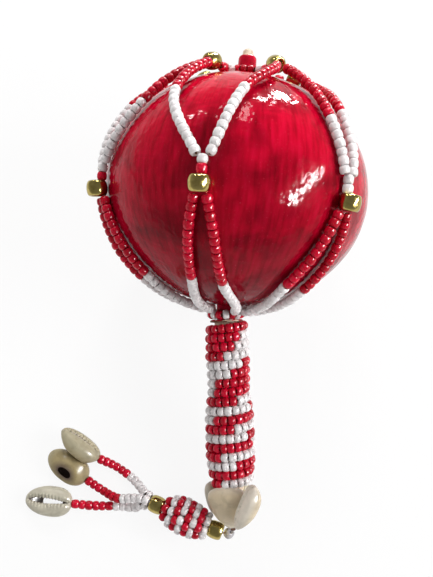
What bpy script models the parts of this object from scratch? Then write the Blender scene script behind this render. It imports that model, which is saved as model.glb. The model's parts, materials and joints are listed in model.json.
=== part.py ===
"""A beaded maraca, lying on a table.

A hollow lacquered gourd full of loose seeds sits on a wooden stick. A net of bead strings and gold beads
covers the gourd, a bead string is wound round the stick, cowries cover the stick's end, and a tassel with
three cowries hangs from it.

Units are metres. +Z is up, +Y runs from the stick's end to the gourd, and the origin lies on the table.
"""

from math import acos, asin, atan2, ceil, cos, pi, radians, sin, sqrt, tan

import bmesh
import bpy
from mathutils import Matrix, Vector

MM = 0.001

# Driving dimensions
GAP = 0.3 * MM  # between pieces that touch
BEAD_RADIUS = 2.0 * MM  # glass seed beads
BEAD_LENGTH = 3.0 * MM
THREAD_RADIUS = 0.6 * MM

GOURD_RADIUS = 54.3 * MM  # at the equator
GOURD_HALF_HEIGHT = 47.8 * MM  # from the centre to a pole
GOURD_WALL = 3.0 * MM
GOURD_LEAN = radians(6.8)  # the gourd's axis leans this far off the stick's

TENON_RADIUS = 4.0 * MM  # the stick's upper end, which passes through the gourd's wall
TENON_INSIDE = 9.0 * MM  # how far it stands inside the gourd
SHOULDER_RADIUS = 6.75 * MM  # the bare wood below the neck ring
SHOULDER_LENGTH = 1.0 * MM
STICK_RADII = (5.1 * MM, 5.5 * MM, 5.1 * MM, 6.5 * MM, 6.7 * MM, 5.4 * MM)  # evenly down the winding
STICK_TIP_RADIUS = 1.8 * MM

WRAP_LOOPS = 17
WRAP_NEST = 0.26 * MM  # how far a loop's beads sink between the next loop's
WRAP_SLACK = 0.35 * MM  # how much thinner the winding's tube is than its beads, all round
WRAP_POINTS_PER_LOOP = 24

PLUG_HOLE_RADIUS = 3.5 * MM
PLUG_RADIUS = 3.8 * MM  # the painted part above the gourd
PLUG_HEIGHT = 8.0 * MM
PLUG_TIP_RADIUS = 2.25 * MM
PLUG_TIP_HEIGHT = 3.1 * MM
PLUG_INSIDE = 2.0 * MM

GOLD_RADIUS = 3.5 * MM  # the net's gold beads
GOLD_LENGTH = 6.0 * MM
GOLD_HOLE_RADIUS = 1.2 * MM
GOLD_CLEAR = 1.6 * MM  # from a gold bead to the strings that fork below it
WAIST_LATITUDE = radians(-7.0)
CROWN_LATITUDE = radians(70.0)

# The net: each double string's azimuth at the waist, where its left and right strings reach the neck ring,
# and how far its left and right upper strings stand off at the fork's middle. Azimuth 0 is the side that
# faces up and the positive side is +X.
MERIDIANS = {
    "front": (-13.3, -40.0, 21.0, 20.5, 11.8),
    "right": (43.5, 48.0, 76.0, 5.5, 8.0),
    "back_right": (125.0, 108.0, 140.0, 9.0, 9.0),
    "back_left": (207.0, 178.0, 212.0, 9.0, 9.0),
    "left": (292.0, 256.0, 292.0, 9.0, 16.0),
}
CROWN_AZIMUTHS = (-45.0, 33.0, 88.0, 165.0, 240.0)  # the crown bead to the left of each meridian
LOWER_SPREAD = ((-25.0, 4.9), (-50.0, 9.1))  # a lower string's latitude and distance from its meridian
FORK_LATITUDE = 36.3  # where the upper strings' spread is given

SEED_RADIUS = 3.0 * MM
SEEDS_ROUND_THE_MIDDLE_ONE = 6

COWRIE_SHELL = 1.1 * MM
COWRIE_SLIT = 2.2 * MM
COWRIE_EGG = 0.16  # how much broader one end is
COWRIE_BACK = 0.62  # the back's share of the height
END_COWRIE = (19.0 * MM, 11.0 * MM, 7.4 * MM)  # length, width and height
FRONT_COWRIE = (18.6 * MM, 14.6 * MM, 6.8 * MM)
COWRIE_OVERHANG = 4.0 * MM  # how far the end cowries reach past the stick's end
SMALL_END_COWRIE = (14.0 * MM, 9.6 * MM, 6.6 * MM)
TASSEL_COWRIE = (20.5 * MM, 13.7 * MM, 10.0 * MM)

# The cowries round the stick's end: azimuth, size, how far the tip stands off to the right, how far the
# cowrie stands off the stick, and whether its back faces out
END_COWRIES = {
    "front": (-14.0, FRONT_COWRIE, 0.6 * MM, 0.0, True),
    "right": (77.0, END_COWRIE, 0.0, 0.9 * MM, False),
    "back": (162.0, END_COWRIE, 0.0, 0.0, False),
    "left": (250.0, SMALL_END_COWRIE, 0.0, 0.0, False),
}
COWRIE_CUT = 0.55  # how much of a cut cowrie's back is left

KNOT_RADIUS = 1.0 * MM
TASSEL_CLEAR = 0.4 * MM  # from the end cowries to the tassel
KNOT_BEAD_RADIUS = 2.2 * MM
TASSEL_GOLD_RADIUS = 3.7 * MM
TASSEL_GOLD_LENGTH = 6.2 * MM
BOBBIN_LENGTH = 20.0 * MM
BOBBIN_RADIUS = 7.9 * MM
BOBBIN_END_RADIUS = 5.0 * MM
BOBBIN_CORE_END_RADIUS = 1.2 * MM
KNOT_BEAD_WAY = (-0.5, -0.5, -0.71)  # from the knot to the knot bead
BOBBIN_HEADING = radians(156.4)  # from the knot bead's side to the strings' side, about +Z from +X
UPPER_GOLD_HEADING = radians(165.0)  # from the knot bead to the upper gold bead

# The tassel's strings: points from the lower gold bead's end across the table, with heights over it, and how
# each string's cowrie lies: its heading, how far its far end is raised and how far it is rolled from back up.
STRING_ROUTES = (
    ((-3.8, 5.4, 4.6), (-8.1, 10.0, 2.5), (-15.3, 15.2, 2.6), (-22.6, 18.6, 6.3)),
    ((-7.0, 1.6, 9.2), (-14.0, 1.8, 7.0), (-21.6, 5.8, 3.4), (-28.0, 10.1, 4.2)),
    ((-6.8, -2.1, 3.8), (-14.5, -1.3, 2.4), (-24.3, -0.9, 2.4), (-34.0, 0.2, 3.75)),
)
COWRIE_LIES = ((142.0, 16.0, 229.0), (145.0, 0.0, 0.0), (172.0, 0.0, 180.0))

# Shares that give small shapes their form
BEAD_END = 0.74  # a barrel bead's end radius to its radius
BEAD_BELLY = 0.4  # the share of its length at full radius
KNOT_BEAD_LENGTH = 0.8  # the knot bead's length to its width
EDGE_ROUND = 0.2  # a wooden edge's bevel to its radius
TIP_ROUND = 0.35
SHOULDER_TAPER = 0.3  # the share of the shoulder that tapers
KNOT_END = 0.6
BOBBIN_SWELL = 2.5  # a higher power makes a straighter bobbin
SLIT_HALF_OUTLINE = ((0, 0.36), (0.42, 0.2), (0.5, 0), (0.42, -0.2))  # across the slit and along the cowrie

# How finely round shapes are divided
GOURD_STEPS = 30
GOURD_OUTSIDE_STEPS = 16
GOURD_INSIDE_STEPS = 12
STICK_STEPS = 16
PLUG_STEPS = 14
RING_STEPS = 18
RING_SIDES = 6
BEAD_STEPS = 10
THREAD_STEPS = 8
SLEEVE_STEPS = 16
BOBBIN_RINGS = 8
COWRIE_STEPS = (12, 7)
SHARP_ANGLE = radians(40)
POINTS_PER_SPAN = 12  # on a smooth curve
STRING_SPACING = 2 * BEAD_LENGTH  # between a string's points
TASSEL_SPACING = 1.5 * BEAD_LENGTH
SMALL = 1e-6

# Sizes that follow from the driving ones
STRING_LIFT = GAP + BEAD_RADIUS  # a string's centreline above the gourd
GOLD_LIFT = GAP + GOLD_RADIUS
AXES_MEET = GOURD_HALF_HEIGHT - GOURD_WALL / 2  # the two axes cross in the middle of the gourd's wall
NECK_HOLE_RADIUS = TENON_RADIUS + GAP + GOURD_WALL / 2 * tan(GOURD_LEAN)
NECK_RING_RADIUS = TENON_RADIUS + GAP + BEAD_RADIUS
NECK_RING_OUTER = NECK_RING_RADIUS + BEAD_RADIUS
NECK_RING_HEIGHT = -(GOURD_WALL / 2 + NECK_RING_OUTER * tan(GOURD_LEAN) + GAP + BEAD_RADIUS)
SHOULDER_TOP = NECK_RING_HEIGHT - BEAD_RADIUS - GAP
WRAP_PITCH = 2 * BEAD_RADIUS - WRAP_NEST
WRAP_TUBE_RADIUS = BEAD_RADIUS - WRAP_SLACK
WRAP_TOP = SHOULDER_TOP - SHOULDER_LENGTH - GAP - BEAD_RADIUS
WRAP_BOTTOM = WRAP_TOP - WRAP_LOOPS * WRAP_PITCH
STICK_TIP_LENGTH = END_COWRIE[0] - COWRIE_OVERHANG  # the whittled end that the cowries sit round
STICK_END = WRAP_BOTTOM - BEAD_RADIUS - STICK_TIP_LENGTH
CROWN_RING_RADIUS = PLUG_RADIUS + GAP + BEAD_RADIUS
STICK_TIP_SLOPE = atan2(STICK_RADII[-1] - STICK_TIP_RADIUS, STICK_TIP_LENGTH)
COWRIE_TOP = WRAP_BOTTOM - BEAD_RADIUS
BOBBIN_LEVEL = BOBBIN_RADIUS + GAP  # the bobbin's axis over the table
GOLD_FROM_BOBBIN = BOBBIN_LENGTH / 2 + GAP + TASSEL_GOLD_LENGTH / 2  # from its middle to a gold bead's


def clear_scene():
    """Remove what the scene holds."""
    for thing in list(bpy.data.objects):
        bpy.data.objects.remove(thing, do_unlink=True)


def make_look(name, colour, roughness, metallic=0.0):
    """A plain surface with a colour, a roughness and a metallic value."""
    look = bpy.data.materials.new(name)
    look.use_nodes = True
    surface = look.node_tree.nodes["Principled BSDF"]
    surface.inputs["Base Color"].default_value = (*colour, 1.0)
    surface.inputs["Roughness"].default_value = roughness
    surface.inputs["Metallic"].default_value = metallic
    look.diffuse_color = (*colour, 1.0)
    return look


def make_looks():
    """The object's finishes."""
    return {
        "lacquer": make_look("red_lacquer", (0.397, 0.003, 0.018), 0.18),
        "red_glass": make_look("red_glass", (0.508, 0.002, 0.02), 0.25),
        "white_glass": make_look("white_glass", (0.80, 0.74, 0.76), 0.3),
        "gold": make_look("gold_metal", (0.62, 0.47, 0.14), 0.2, 1.0),
        "wood": make_look("bare_wood", (0.645, 0.451, 0.342), 0.6),
        "shell": make_look("cowrie_shell", (0.533, 0.521, 0.462), 0.3),
        "thread": make_look("brown_thread", (0.16, 0.08, 0.05), 0.8),
        "seed": make_look("dry_seed", (0.20, 0.09, 0.03), 0.5),
    }


def add_empty(name, parent=None, location=(0, 0, 0), rotation=(0, 0, 0)):
    """A named axis that pieces hang on."""
    empty = bpy.data.objects.new(name, None)
    bpy.context.scene.collection.objects.link(empty)
    empty.parent = parent
    empty.location = location
    empty.rotation_euler = rotation
    return empty


def add_piece(name, data, look, parent=None, location=(0, 0, 0), along=None):
    """One named piece, with its own axis turned along a direction."""
    piece = bpy.data.objects.new(name, data)
    bpy.context.scene.collection.objects.link(piece)
    piece.parent = parent
    piece.location = location
    if along is not None:
        piece.rotation_mode = "QUATERNION"
        piece.rotation_quaternion = Vector(along).to_track_quat("Z", "Y")
    if not data.materials:
        data.materials.append(look)
    return piece


def mesh_from(name, shape):
    """A mesh from a bmesh, with its faces out and its round stretches smooth."""
    bmesh.ops.recalc_face_normals(shape, faces=shape.faces)
    mesh = bpy.data.meshes.new(name)
    shape.to_mesh(mesh)
    shape.free()
    mesh.shade_smooth()
    mesh.set_sharp_from_angle(angle=SHARP_ANGLE)
    return mesh


def turned_mesh(name, profile, steps, closed=False):
    """A profile of radii and heights, turned about +Z. It runs from axis to axis or is a closed loop."""
    shape = bmesh.new()
    corners = [shape.verts.new((radius, 0, height)) for radius, height in profile]
    edges = [shape.edges.new(pair) for pair in zip(corners, corners[1:])]
    if closed:
        edges.append(shape.edges.new((corners[-1], corners[0])))
    bmesh.ops.spin(
        shape, geom=corners + edges, cent=(0, 0, 0), axis=(0, 0, 1), angle=2 * pi, steps=steps, use_merge=True
    )
    bmesh.ops.remove_doubles(shape, verts=shape.verts, dist=SMALL)
    return mesh_from(name, shape)


def round_profile(centre, radius, sides):
    """A circle in the turning plane, about a radius and a height."""
    angles = [2 * pi * (n + 0.5) / sides for n in range(sides)]
    return [(centre[0] + radius * cos(a), centre[1] + radius * sin(a)) for a in angles]


def ring_mesh(name, radius, height):
    """A round ring of beads, as a plain ring."""
    profile = round_profile((radius, height), BEAD_RADIUS, RING_SIDES)
    return turned_mesh(name, profile, RING_STEPS, closed=True)


def bead_outline(radius, length):
    """A barrel-shaped bead's radii and heights above its middle."""
    return [(radius * BEAD_END, length / 2), (radius, length / 2 * BEAD_BELLY)]


def bead_mesh(name, radius, length, hole):
    """A barrel-shaped bead with a hole along +Z."""
    upper = bead_outline(radius, length)
    lower = [(level, -height) for level, height in reversed(upper)]
    profile = [(hole, length / 2), *upper, *lower, (hole, -length / 2)]
    return turned_mesh(name, profile, BEAD_STEPS, closed=True)


def bead_reach(radius, length, angle):
    """How far a barrel-shaped bead reaches at an angle to its hole."""
    return max(level * sin(angle) + height * cos(angle) for level, height in bead_outline(radius, length))


def smooth_route(controls):
    """Many points on a smooth curve through a few points."""
    points = [Vector(c) for c in controls]
    padded = [2 * points[0] - points[1], *points, 2 * points[-1] - points[-2]]
    route = []
    for before, start, end, after in zip(padded, padded[1:], padded[2:], padded[3:]):
        for n in range(POINTS_PER_SPAN):
            t = n / POINTS_PER_SPAN
            route.append(
                0.5
                * (
                    2 * start
                    + (end - before) * t
                    + (2 * before - 5 * start + 4 * end - after) * t**2
                    + (3 * start - before - 3 * end + after) * t**3
                )
            )
    route.append(points[-1])
    return route


def even_points(route, spacing):
    """Points spread evenly along a route, about a spacing apart."""
    lengths = [0.0]
    for a, b in zip(route, route[1:]):
        lengths.append(lengths[-1] + (b - a).length)
    count = max(2, ceil(lengths[-1] / spacing))
    points = []
    place = 0
    for n in range(count + 1):
        goal = lengths[-1] * n / count
        while place < len(route) - 2 and lengths[place + 1] < goal:
            place += 1
        share = (goal - lengths[place]) / (lengths[place + 1] - lengths[place])
        points.append(route[place].lerp(route[place + 1], share))
    return points


def add_tube(name, points, look, parent=None, radius=BEAD_RADIUS, sides=1, radii=None):
    """A closed tube along points, whose radius may change from point to point."""
    curve = bpy.data.curves.new(name, "CURVE")
    curve.dimensions = "3D"
    curve.bevel_depth = radius
    curve.bevel_resolution = sides
    curve.use_fill_caps = True
    spline = curve.splines.new("POLY")
    spline.points.add(len(points) - 1)
    for index, (spot, point) in enumerate(zip(spline.points, points)):
        spot.co = (*point, 1.0)
        spot.radius = radii[index] / radius if radii else 1.0
    return add_piece(name, curve, look, parent)


def over_gourd(azimuth, latitude, lift):
    """A point over the gourd's outside, in the gourd's own axes."""
    level = (GOURD_RADIUS + lift) * cos(latitude)
    return Vector((level * sin(azimuth), -level * cos(azimuth), (GOURD_HALF_HEIGHT + lift) * sin(latitude)))


def gourd_profile():
    """The gourd's wall: its outside from the top hole down to the neck hole, and its inside back up."""
    profile = []
    for inset, steps, falling in ((0.0, GOURD_OUTSIDE_STEPS, True), (GOURD_WALL, GOURD_INSIDE_STEPS, False)):
        radius = GOURD_RADIUS - inset
        height = GOURD_HALF_HEIGHT - inset
        top = acos(PLUG_HOLE_RADIUS / radius)
        bottom = -acos(NECK_HOLE_RADIUS / radius)
        shares = [n / steps for n in range(steps + 1)]
        for share in shares if falling else reversed(shares):
            latitude = top + (bottom - top) * share
            profile.append((radius * cos(latitude), height * sin(latitude)))
    return profile


def stick_radius(height):
    """The stick's radius under the winding, eased between its evenly spaced radii."""
    top = SHOULDER_TOP - SHOULDER_LENGTH
    bottom = WRAP_BOTTOM - BEAD_RADIUS
    place = (top - height) / (top - bottom) * (len(STICK_RADII) - 1)
    place = min(max(place, 0.0), len(STICK_RADII) - 1 - SMALL)
    index = int(place)
    share = (1 - cos(pi * (place - index))) / 2
    return STICK_RADII[index] + (STICK_RADII[index + 1] - STICK_RADII[index]) * share


def stick_profile():
    """The stick from the top of its tenon to its whittled end."""
    chamfer = TENON_RADIUS * EDGE_ROUND
    top = TENON_INSIDE + GOURD_WALL / 2
    shoulder_end = SHOULDER_TOP - SHOULDER_LENGTH
    winding_end = WRAP_BOTTOM - BEAD_RADIUS
    profile = [(0, top), (TENON_RADIUS - chamfer, top), (TENON_RADIUS, top - chamfer)]
    profile += [(TENON_RADIUS, SHOULDER_TOP), (SHOULDER_RADIUS, SHOULDER_TOP)]
    profile += [(SHOULDER_RADIUS, shoulder_end + SHOULDER_LENGTH * SHOULDER_TAPER)]
    rings = 2 * len(STICK_RADII)
    for n in range(rings + 1):
        height = shoulder_end + (winding_end - shoulder_end) * n / rings
        profile.append((stick_radius(height), height))
    profile += [(STICK_TIP_RADIUS, STICK_END), (0, STICK_END)]
    return profile


def plug_profile():
    """The plug from its bare tip down through the gourd's wall."""
    seat = GOURD_HALF_HEIGHT + GAP
    shoulder = seat + PLUG_HEIGHT
    top = shoulder + PLUG_TIP_HEIGHT
    shank = PLUG_HOLE_RADIUS - GAP
    round_off = PLUG_TIP_RADIUS * TIP_ROUND
    inside = GOURD_HALF_HEIGHT - GOURD_WALL - PLUG_INSIDE
    profile = [(0, top), (PLUG_TIP_RADIUS - round_off, top), (PLUG_TIP_RADIUS, top - round_off)]
    profile += [(PLUG_TIP_RADIUS, shoulder), (PLUG_RADIUS - round_off, shoulder)]
    profile += [(PLUG_RADIUS, shoulder - round_off), (PLUG_RADIUS, seat)]
    profile += [(shank, seat), (shank, inside), (0, inside)]
    return profile


def wrap_points():
    """The wound bead string's centreline: a helix down the stick, straight at both ends."""
    points = []
    for n in range(WRAP_LOOPS * WRAP_POINTS_PER_LOOP + 1):
        turn = n / WRAP_POINTS_PER_LOOP
        height = WRAP_TOP - WRAP_PITCH * turn
        level = stick_radius(height) + BEAD_RADIUS
        angle = -2 * pi * turn
        points.append(Vector((level * sin(angle), -level * cos(angle), height)))
    ends = (points[0] - points[1]).normalized(), (points[-1] - points[-2]).normalized()
    straight = 2 * WRAP_TUBE_RADIUS
    return [points[0] + ends[0] * straight, *points, points[-1] + ends[1] * straight]


def report_wrap_gap(points):
    """Print the least gap between neighbouring loops of the winding."""
    apart = WRAP_POINTS_PER_LOOP // 2
    least = min((a - b).length for i, a in enumerate(points) for b in points[i + apart :])
    print(f"handle_bead_wrap: least gap to itself {(least - 2 * WRAP_TUBE_RADIUS) / MM:.2f} mm")


def lower_string(meridian, side):
    """A string from below a waist bead to the neck ring."""
    azimuth, left_neck, right_neck, _, _ = MERIDIANS[meridian]
    neck = left_neck if side < 0 else right_neck
    start = WAIST_LATITUDE - (GOLD_LENGTH / 2 + GAP) / GOURD_HALF_HEIGHT
    ring_slides = -NECK_RING_HEIGHT * tan(GOURD_LEAN)  # the neck ring lies off the gourd's axis
    end_radius = NECK_RING_OUTER + ring_slides + 2 * GAP
    end = -acos(end_radius / (GOURD_RADIUS + STRING_LIFT))
    beside = asin((BEAD_RADIUS + GAP / 2) / GOURD_RADIUS)
    places = [(radians(azimuth) + side * beside, start)]
    places += [(radians(azimuth + side * spread), radians(latitude)) for latitude, spread in LOWER_SPREAD]
    places += [(radians(neck), end)]
    return [over_gourd(a, b, STRING_LIFT) for a, b in smooth_places(places)]


def smooth_places(places):
    """Many places on a smooth line through a few places over the gourd, which never swings past them."""
    spans = [(b[0] - a[0], b[1] - a[1]) for a, b in zip(places, places[1:])]
    slopes = [turn / rise for turn, rise in spans]
    bends = [2 * a * b / (a + b) if a * b > 0 else 0.0 for a, b in zip(slopes, slopes[1:])]
    bends = [slopes[0], *bends, slopes[-1]]
    line = []
    for (azimuth, latitude), (turn, rise), first, last in zip(places, spans, bends, bends[1:]):
        for n in range(POINTS_PER_SPAN):
            t = n / POINTS_PER_SPAN
            ease = t * t * (3 - 2 * t)
            pull = rise * (first * t * (1 - t) ** 2 - last * t * t * (1 - t))
            line.append((azimuth + turn * ease + pull, latitude + rise * t))
    return [*line, places[-1]]


def upper_string(meridian, crown_azimuth, side):
    """A string from the fork to a crown bead. Azimuths that meet are given on one turn."""
    azimuth, _, _, left_spread, right_spread = MERIDIANS[meridian]
    spread = left_spread if side < 0 else right_spread
    stem = WAIST_LATITUDE + (GOLD_LENGTH / 2 + GOLD_CLEAR) / GOURD_HALF_HEIGHT
    fork = stem + 2 * BEAD_LENGTH / GOURD_HALF_HEIGHT
    clear_of_stem = fork + 2 * BEAD_RADIUS / GOURD_HALF_HEIGHT
    beside = asin((BEAD_RADIUS + 3 * GAP) / GOURD_RADIUS)
    end = CROWN_LATITUDE - (GOLD_LENGTH / 2 + GOLD_CLEAR) / GOURD_HALF_HEIGHT
    beside_crown = asin((BEAD_RADIUS + GAP / 2) / ((GOURD_RADIUS + STRING_LIFT) * cos(end)))
    middle = radians(azimuth)
    places = [(middle + side * beside, clear_of_stem)]
    places += [(middle + side * radians(spread), radians(FORK_LATITUDE))]
    places += [(radians(crown_azimuth) - side * beside_crown, end)]
    if side < 0:
        places = [(middle, stem), (middle, fork), *places]
    return [over_gourd(a, b, STRING_LIFT) for a, b in smooth_places(places)]


def thread_through(azimuth, latitude):
    """A thread's points through a gold bead, from just below it to just above it."""
    reach = (GOLD_LENGTH / 2 + THREAD_RADIUS + GAP) / GOURD_HALF_HEIGHT
    return [over_gourd(azimuth, latitude + way * reach, GOLD_LIFT) for way in (-1, 0, 1)]


def crown_arm(azimuth):
    """The string from a crown bead to the crown ring."""
    start = CROWN_LATITUDE + (GOLD_LENGTH / 2 + GOLD_CLEAR) / GOURD_HALF_HEIGHT
    end = acos((CROWN_RING_RADIUS + BEAD_RADIUS + 2 * GAP) / (GOURD_RADIUS + STRING_LIFT))
    return [over_gourd(azimuth, start + (end - start) * n / 2, STRING_LIFT) for n in range(3)]


def thinned(points, towards_first):
    """A string's points with a step down to its thread at one end, and their radii."""
    end, inner = (points[0], points[1]) if towards_first else (points[-1], points[-2])
    step = end + (end - inner).normalized() * GAP / 3
    if towards_first:
        return [step, *points], [THREAD_RADIUS] + [BEAD_RADIUS] * len(points)
    return [*points, step], [BEAD_RADIUS] * len(points) + [THREAD_RADIUS]


def add_upper_strings(gourd, looks, meridian, crown_left, crown_right):
    """A meridian's two upper strings: the left one hangs in the waist bead, the right one in a crown bead."""
    waist = thread_through(radians(MERIDIANS[meridian][0]), WAIST_LATITUDE)[1:]
    left, radii = thinned(even_points(upper_string(meridian, crown_left, -1), STRING_SPACING), True)
    radii = [THREAD_RADIUS] * len(waist) + radii
    add_tube(f"upper_string_{meridian}_left", waist + left, looks["white_glass"], gourd, radii=radii)
    right, radii = thinned(even_points(upper_string(meridian, crown_right, 1), STRING_SPACING), False)
    crown = thread_through(radians(crown_right), CROWN_LATITUDE)
    arm, arm_radii = thinned(crown_arm(radians(crown_right)), True)
    radii = radii + [THREAD_RADIUS] * len(crown) + arm_radii
    add_tube(f"upper_string_{meridian}_right", right + crown + arm, looks["white_glass"], gourd, radii=radii)


def add_net(gourd, looks):
    """The bead net: strings, gold beads and the ring round the plug."""
    gold = bead_mesh("net_gold_bead", GOLD_RADIUS, GOLD_LENGTH, GOLD_HOLE_RADIUS)
    gold.materials.append(looks["gold"])
    for index, meridian in enumerate(MERIDIANS):
        azimuth = radians(MERIDIANS[meridian][0])
        place_on_gourd(f"waist_gold_bead_{meridian}", gold, gourd, azimuth, WAIST_LATITUDE)
        crown_left = CROWN_AZIMUTHS[index]
        crown_right = CROWN_AZIMUTHS[(index + 1) % len(CROWN_AZIMUTHS)]
        if crown_right < crown_left:
            crown_right += 360
        place_on_gourd(f"crown_gold_bead_{index + 1}", gold, gourd, radians(crown_left), CROWN_LATITUDE)
        for side, word in ((-1, "left"), (1, "right")):
            lower = even_points(lower_string(meridian, side), STRING_SPACING)
            add_tube(f"lower_string_{meridian}_{word}", lower, looks["red_glass"], gourd)
        add_upper_strings(gourd, looks, meridian, crown_left, crown_right)
    share = CROWN_RING_RADIUS / (GOURD_RADIUS + STRING_LIFT)
    height = (GOURD_HALF_HEIGHT + STRING_LIFT) * sqrt(1 - share**2)
    ring = ring_mesh("crown_bead_ring", CROWN_RING_RADIUS, height)
    add_piece("crown_bead_ring", ring, looks["white_glass"], gourd)


def place_on_gourd(name, mesh, gourd, azimuth, latitude):
    """A gold bead over the gourd, with its hole along the meridian."""
    below, middle, above = thread_through(azimuth, latitude)
    return add_piece(name, mesh, None, gourd, middle, above - below)


def egg_shape(size, inset):
    """A cowrie's egg, its broad end at +Z and its back at +Y, shrunk by an inset."""
    length, width, height = size
    shape = bmesh.new()
    bmesh.ops.create_uvsphere(shape, u_segments=COWRIE_STEPS[0], v_segments=COWRIE_STEPS[1], radius=1.0)
    for corner in shape.verts:
        x, y, z = corner.co
        side = height * (COWRIE_BACK if y > 0 else 1 - COWRIE_BACK) - inset
        swell = 1 + COWRIE_EGG * z
        corner.co = (x * swell * (width / 2 - inset), y * swell * side, z * (length / 2 - inset))
    return shape


def slit_cutter(size):
    """A long lens that cuts a cowrie's slit through its base."""
    length, _, height = size
    shape = bmesh.new()
    outline = [*SLIT_HALF_OUTLINE, *((-x, -z) for x, z in SLIT_HALF_OUTLINE)]
    low = [shape.verts.new((x * COWRIE_SLIT, -height, z * length)) for x, z in outline]
    face = shape.faces.new(low)
    grown = bmesh.ops.extrude_face_region(shape, geom=[face])
    moved = [part for part in grown["geom"] if isinstance(part, bmesh.types.BMVert)]
    bmesh.ops.translate(shape, verts=moved, vec=(0, height, 0))
    return mesh_from("slit_cutter", shape)


def cowrie_mesh(name, size, look, cut=None):
    """A hollow cowrie, open along its slit and, where its back is cut off, there too."""
    inner = mesh_from("inside", egg_shape(size, COWRIE_SHELL))
    inner.flip_normals()
    shape = egg_shape(size, 0.0)
    shape.from_mesh(inner)
    bpy.data.meshes.remove(inner)
    if cut is not None:
        level = size[2] * COWRIE_BACK * cut
        geometry = [*shape.verts, *shape.edges, *shape.faces]
        bmesh.ops.bisect_plane(
            shape, geom=geometry, dist=SMALL, plane_co=(0, level, 0), plane_no=(0, 1, 0), clear_outer=True
        )
        bmesh.ops.bridge_loops(shape, edges=[edge for edge in shape.edges if edge.is_boundary])
    solid = bpy.data.meshes.new(name)
    shape.to_mesh(solid)
    shape.free()
    body = add_piece("shell_to_cut", solid, look)
    cutter = add_piece("slit_to_cut", slit_cutter(size), look)
    slit = body.modifiers.new("slit", "BOOLEAN")
    slit.operation = "DIFFERENCE"
    slit.solver = "EXACT"
    slit.object = cutter
    bpy.context.view_layer.update()
    finished = bpy.data.meshes.new_from_object(body.evaluated_get(bpy.context.evaluated_depsgraph_get()))
    finished.name = name
    finished.shade_smooth()
    finished.set_sharp_from_angle(angle=SHARP_ANGLE)
    bpy.data.objects.remove(body)
    bpy.data.objects.remove(cutter)
    return finished


def add_end_cowries(maraca, looks):
    """Cowries round the stick's whittled end. One shows its back and the others show their slits."""
    pieces = []
    for name, (azimuth, size, tip_off, off, back_out) in END_COWRIES.items():
        length, _, height = size
        mesh = cowrie_mesh(f"end_cowrie_{name}", size, looks["shell"])
        middle = COWRIE_TOP - length / 2 * cos(STICK_TIP_SLOPE)
        seat = STICK_TIP_RADIUS + (middle - STICK_END) * tan(STICK_TIP_SLOPE)
        turn = radians(azimuth)
        out = Vector((sin(turn), -cos(turn), 0))
        up = Vector((0, 0, 1))
        upright = up * cos(STICK_TIP_SLOPE) + out * sin(STICK_TIP_SLOPE)
        away = out * cos(STICK_TIP_SLOPE) - up * sin(STICK_TIP_SLOPE)
        lean = asin(tip_off / (length / 2))
        along = upright * cos(lean) + away.cross(upright) * sin(lean)
        inner_side = height * ((1 - COWRIE_BACK) if back_out else COWRIE_BACK)
        back = away if back_out else -away
        piece = add_piece(f"end_cowrie_{name}", mesh, looks["shell"], maraca)
        turned = Matrix((back.cross(along), back, along)).transposed()
        place = up * middle + out * seat + away * (GAP + off + inner_side)
        piece.matrix_local = Matrix.Translation(place) @ turned.to_4x4()
        pieces.append(piece)
    return pieces


def tail_profile(knot_height):
    """The tail thread from the stick's end to its knot."""
    thread_end = knot_height + sqrt(KNOT_RADIUS**2 - THREAD_RADIUS**2)
    top = STICK_END - GAP
    bottom = knot_height - KNOT_RADIUS
    profile = [(0, top), (THREAD_RADIUS, top), (THREAD_RADIUS, thread_end)]
    return profile + [(KNOT_RADIUS, knot_height), (KNOT_RADIUS * KNOT_END, bottom), (0, bottom)]


def shown_corners(pieces):
    """The corners of some pieces as they are shown."""
    bpy.context.view_layer.update()
    graph = bpy.context.evaluated_depsgraph_get()
    corners = []
    for piece in pieces:
        shown = piece.evaluated_get(graph)
        corners += [shown.matrix_world @ corner.co for corner in shown.to_mesh().vertices]
        shown.to_mesh_clear()
    return corners


def lay_down(maraca, gourd_pieces, end_pieces):
    """Lay the maraca on the table, on its gourd and the pieces at its end."""
    gourd_corners = shown_corners(gourd_pieces)
    end_corners = shown_corners(end_pieces)
    flat, steep = 0.0, pi / 3
    while steep - flat > SMALL:
        slope = (flat + steep) / 2
        up = Vector((0, -cos(slope), sin(slope)))
        if min(c.dot(up) for c in gourd_corners) < min(c.dot(up) for c in end_corners):
            flat = slope
        else:
            steep = slope
    maraca.rotation_euler = (slope - pi / 2, 0, 0)
    maraca.location[2] = -min(corner[2] for corner in shown_corners(gourd_pieces + end_pieces))
    bpy.context.view_layer.update()


def centre_on_table(maraca, pieces):
    """Bring the middle of some pieces' box over the origin."""
    corners = shown_corners(pieces)
    for axis in (0, 1):
        values = [corner[axis] for corner in corners]
        maraca.location[axis] -= (min(values) + max(values)) / 2
    bpy.context.view_layer.update()


def bobbin_radius(share):
    """The bobbin's outer radius at a share of its half length."""
    return BOBBIN_END_RADIUS + (BOBBIN_RADIUS - BOBBIN_END_RADIUS) * (1 - abs(share) ** BOBBIN_SWELL)


def bobbin_shares():
    """Even shares of the bobbin's half length, from one end to the other."""
    return [1 - 2 * n / BOBBIN_RINGS for n in range(BOBBIN_RINGS + 1)]


def core_radius(share):
    """The core's radius inside the bobbin's beads."""
    return max(BOBBIN_CORE_END_RADIUS, bobbin_radius(share) - 2 * BEAD_RADIUS)


def core_profile():
    """The bobbin's core, with its thread through both gold beads."""
    half = BOBBIN_LENGTH / 2
    reach = half + GAP + TASSEL_GOLD_LENGTH
    profile = [(0, reach), (THREAD_RADIUS, reach), (THREAD_RADIUS, half)]
    profile += [(core_radius(share), share * half) for share in bobbin_shares()]
    return profile + [(THREAD_RADIUS, -half), (THREAD_RADIUS, -reach), (0, -reach)]


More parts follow.
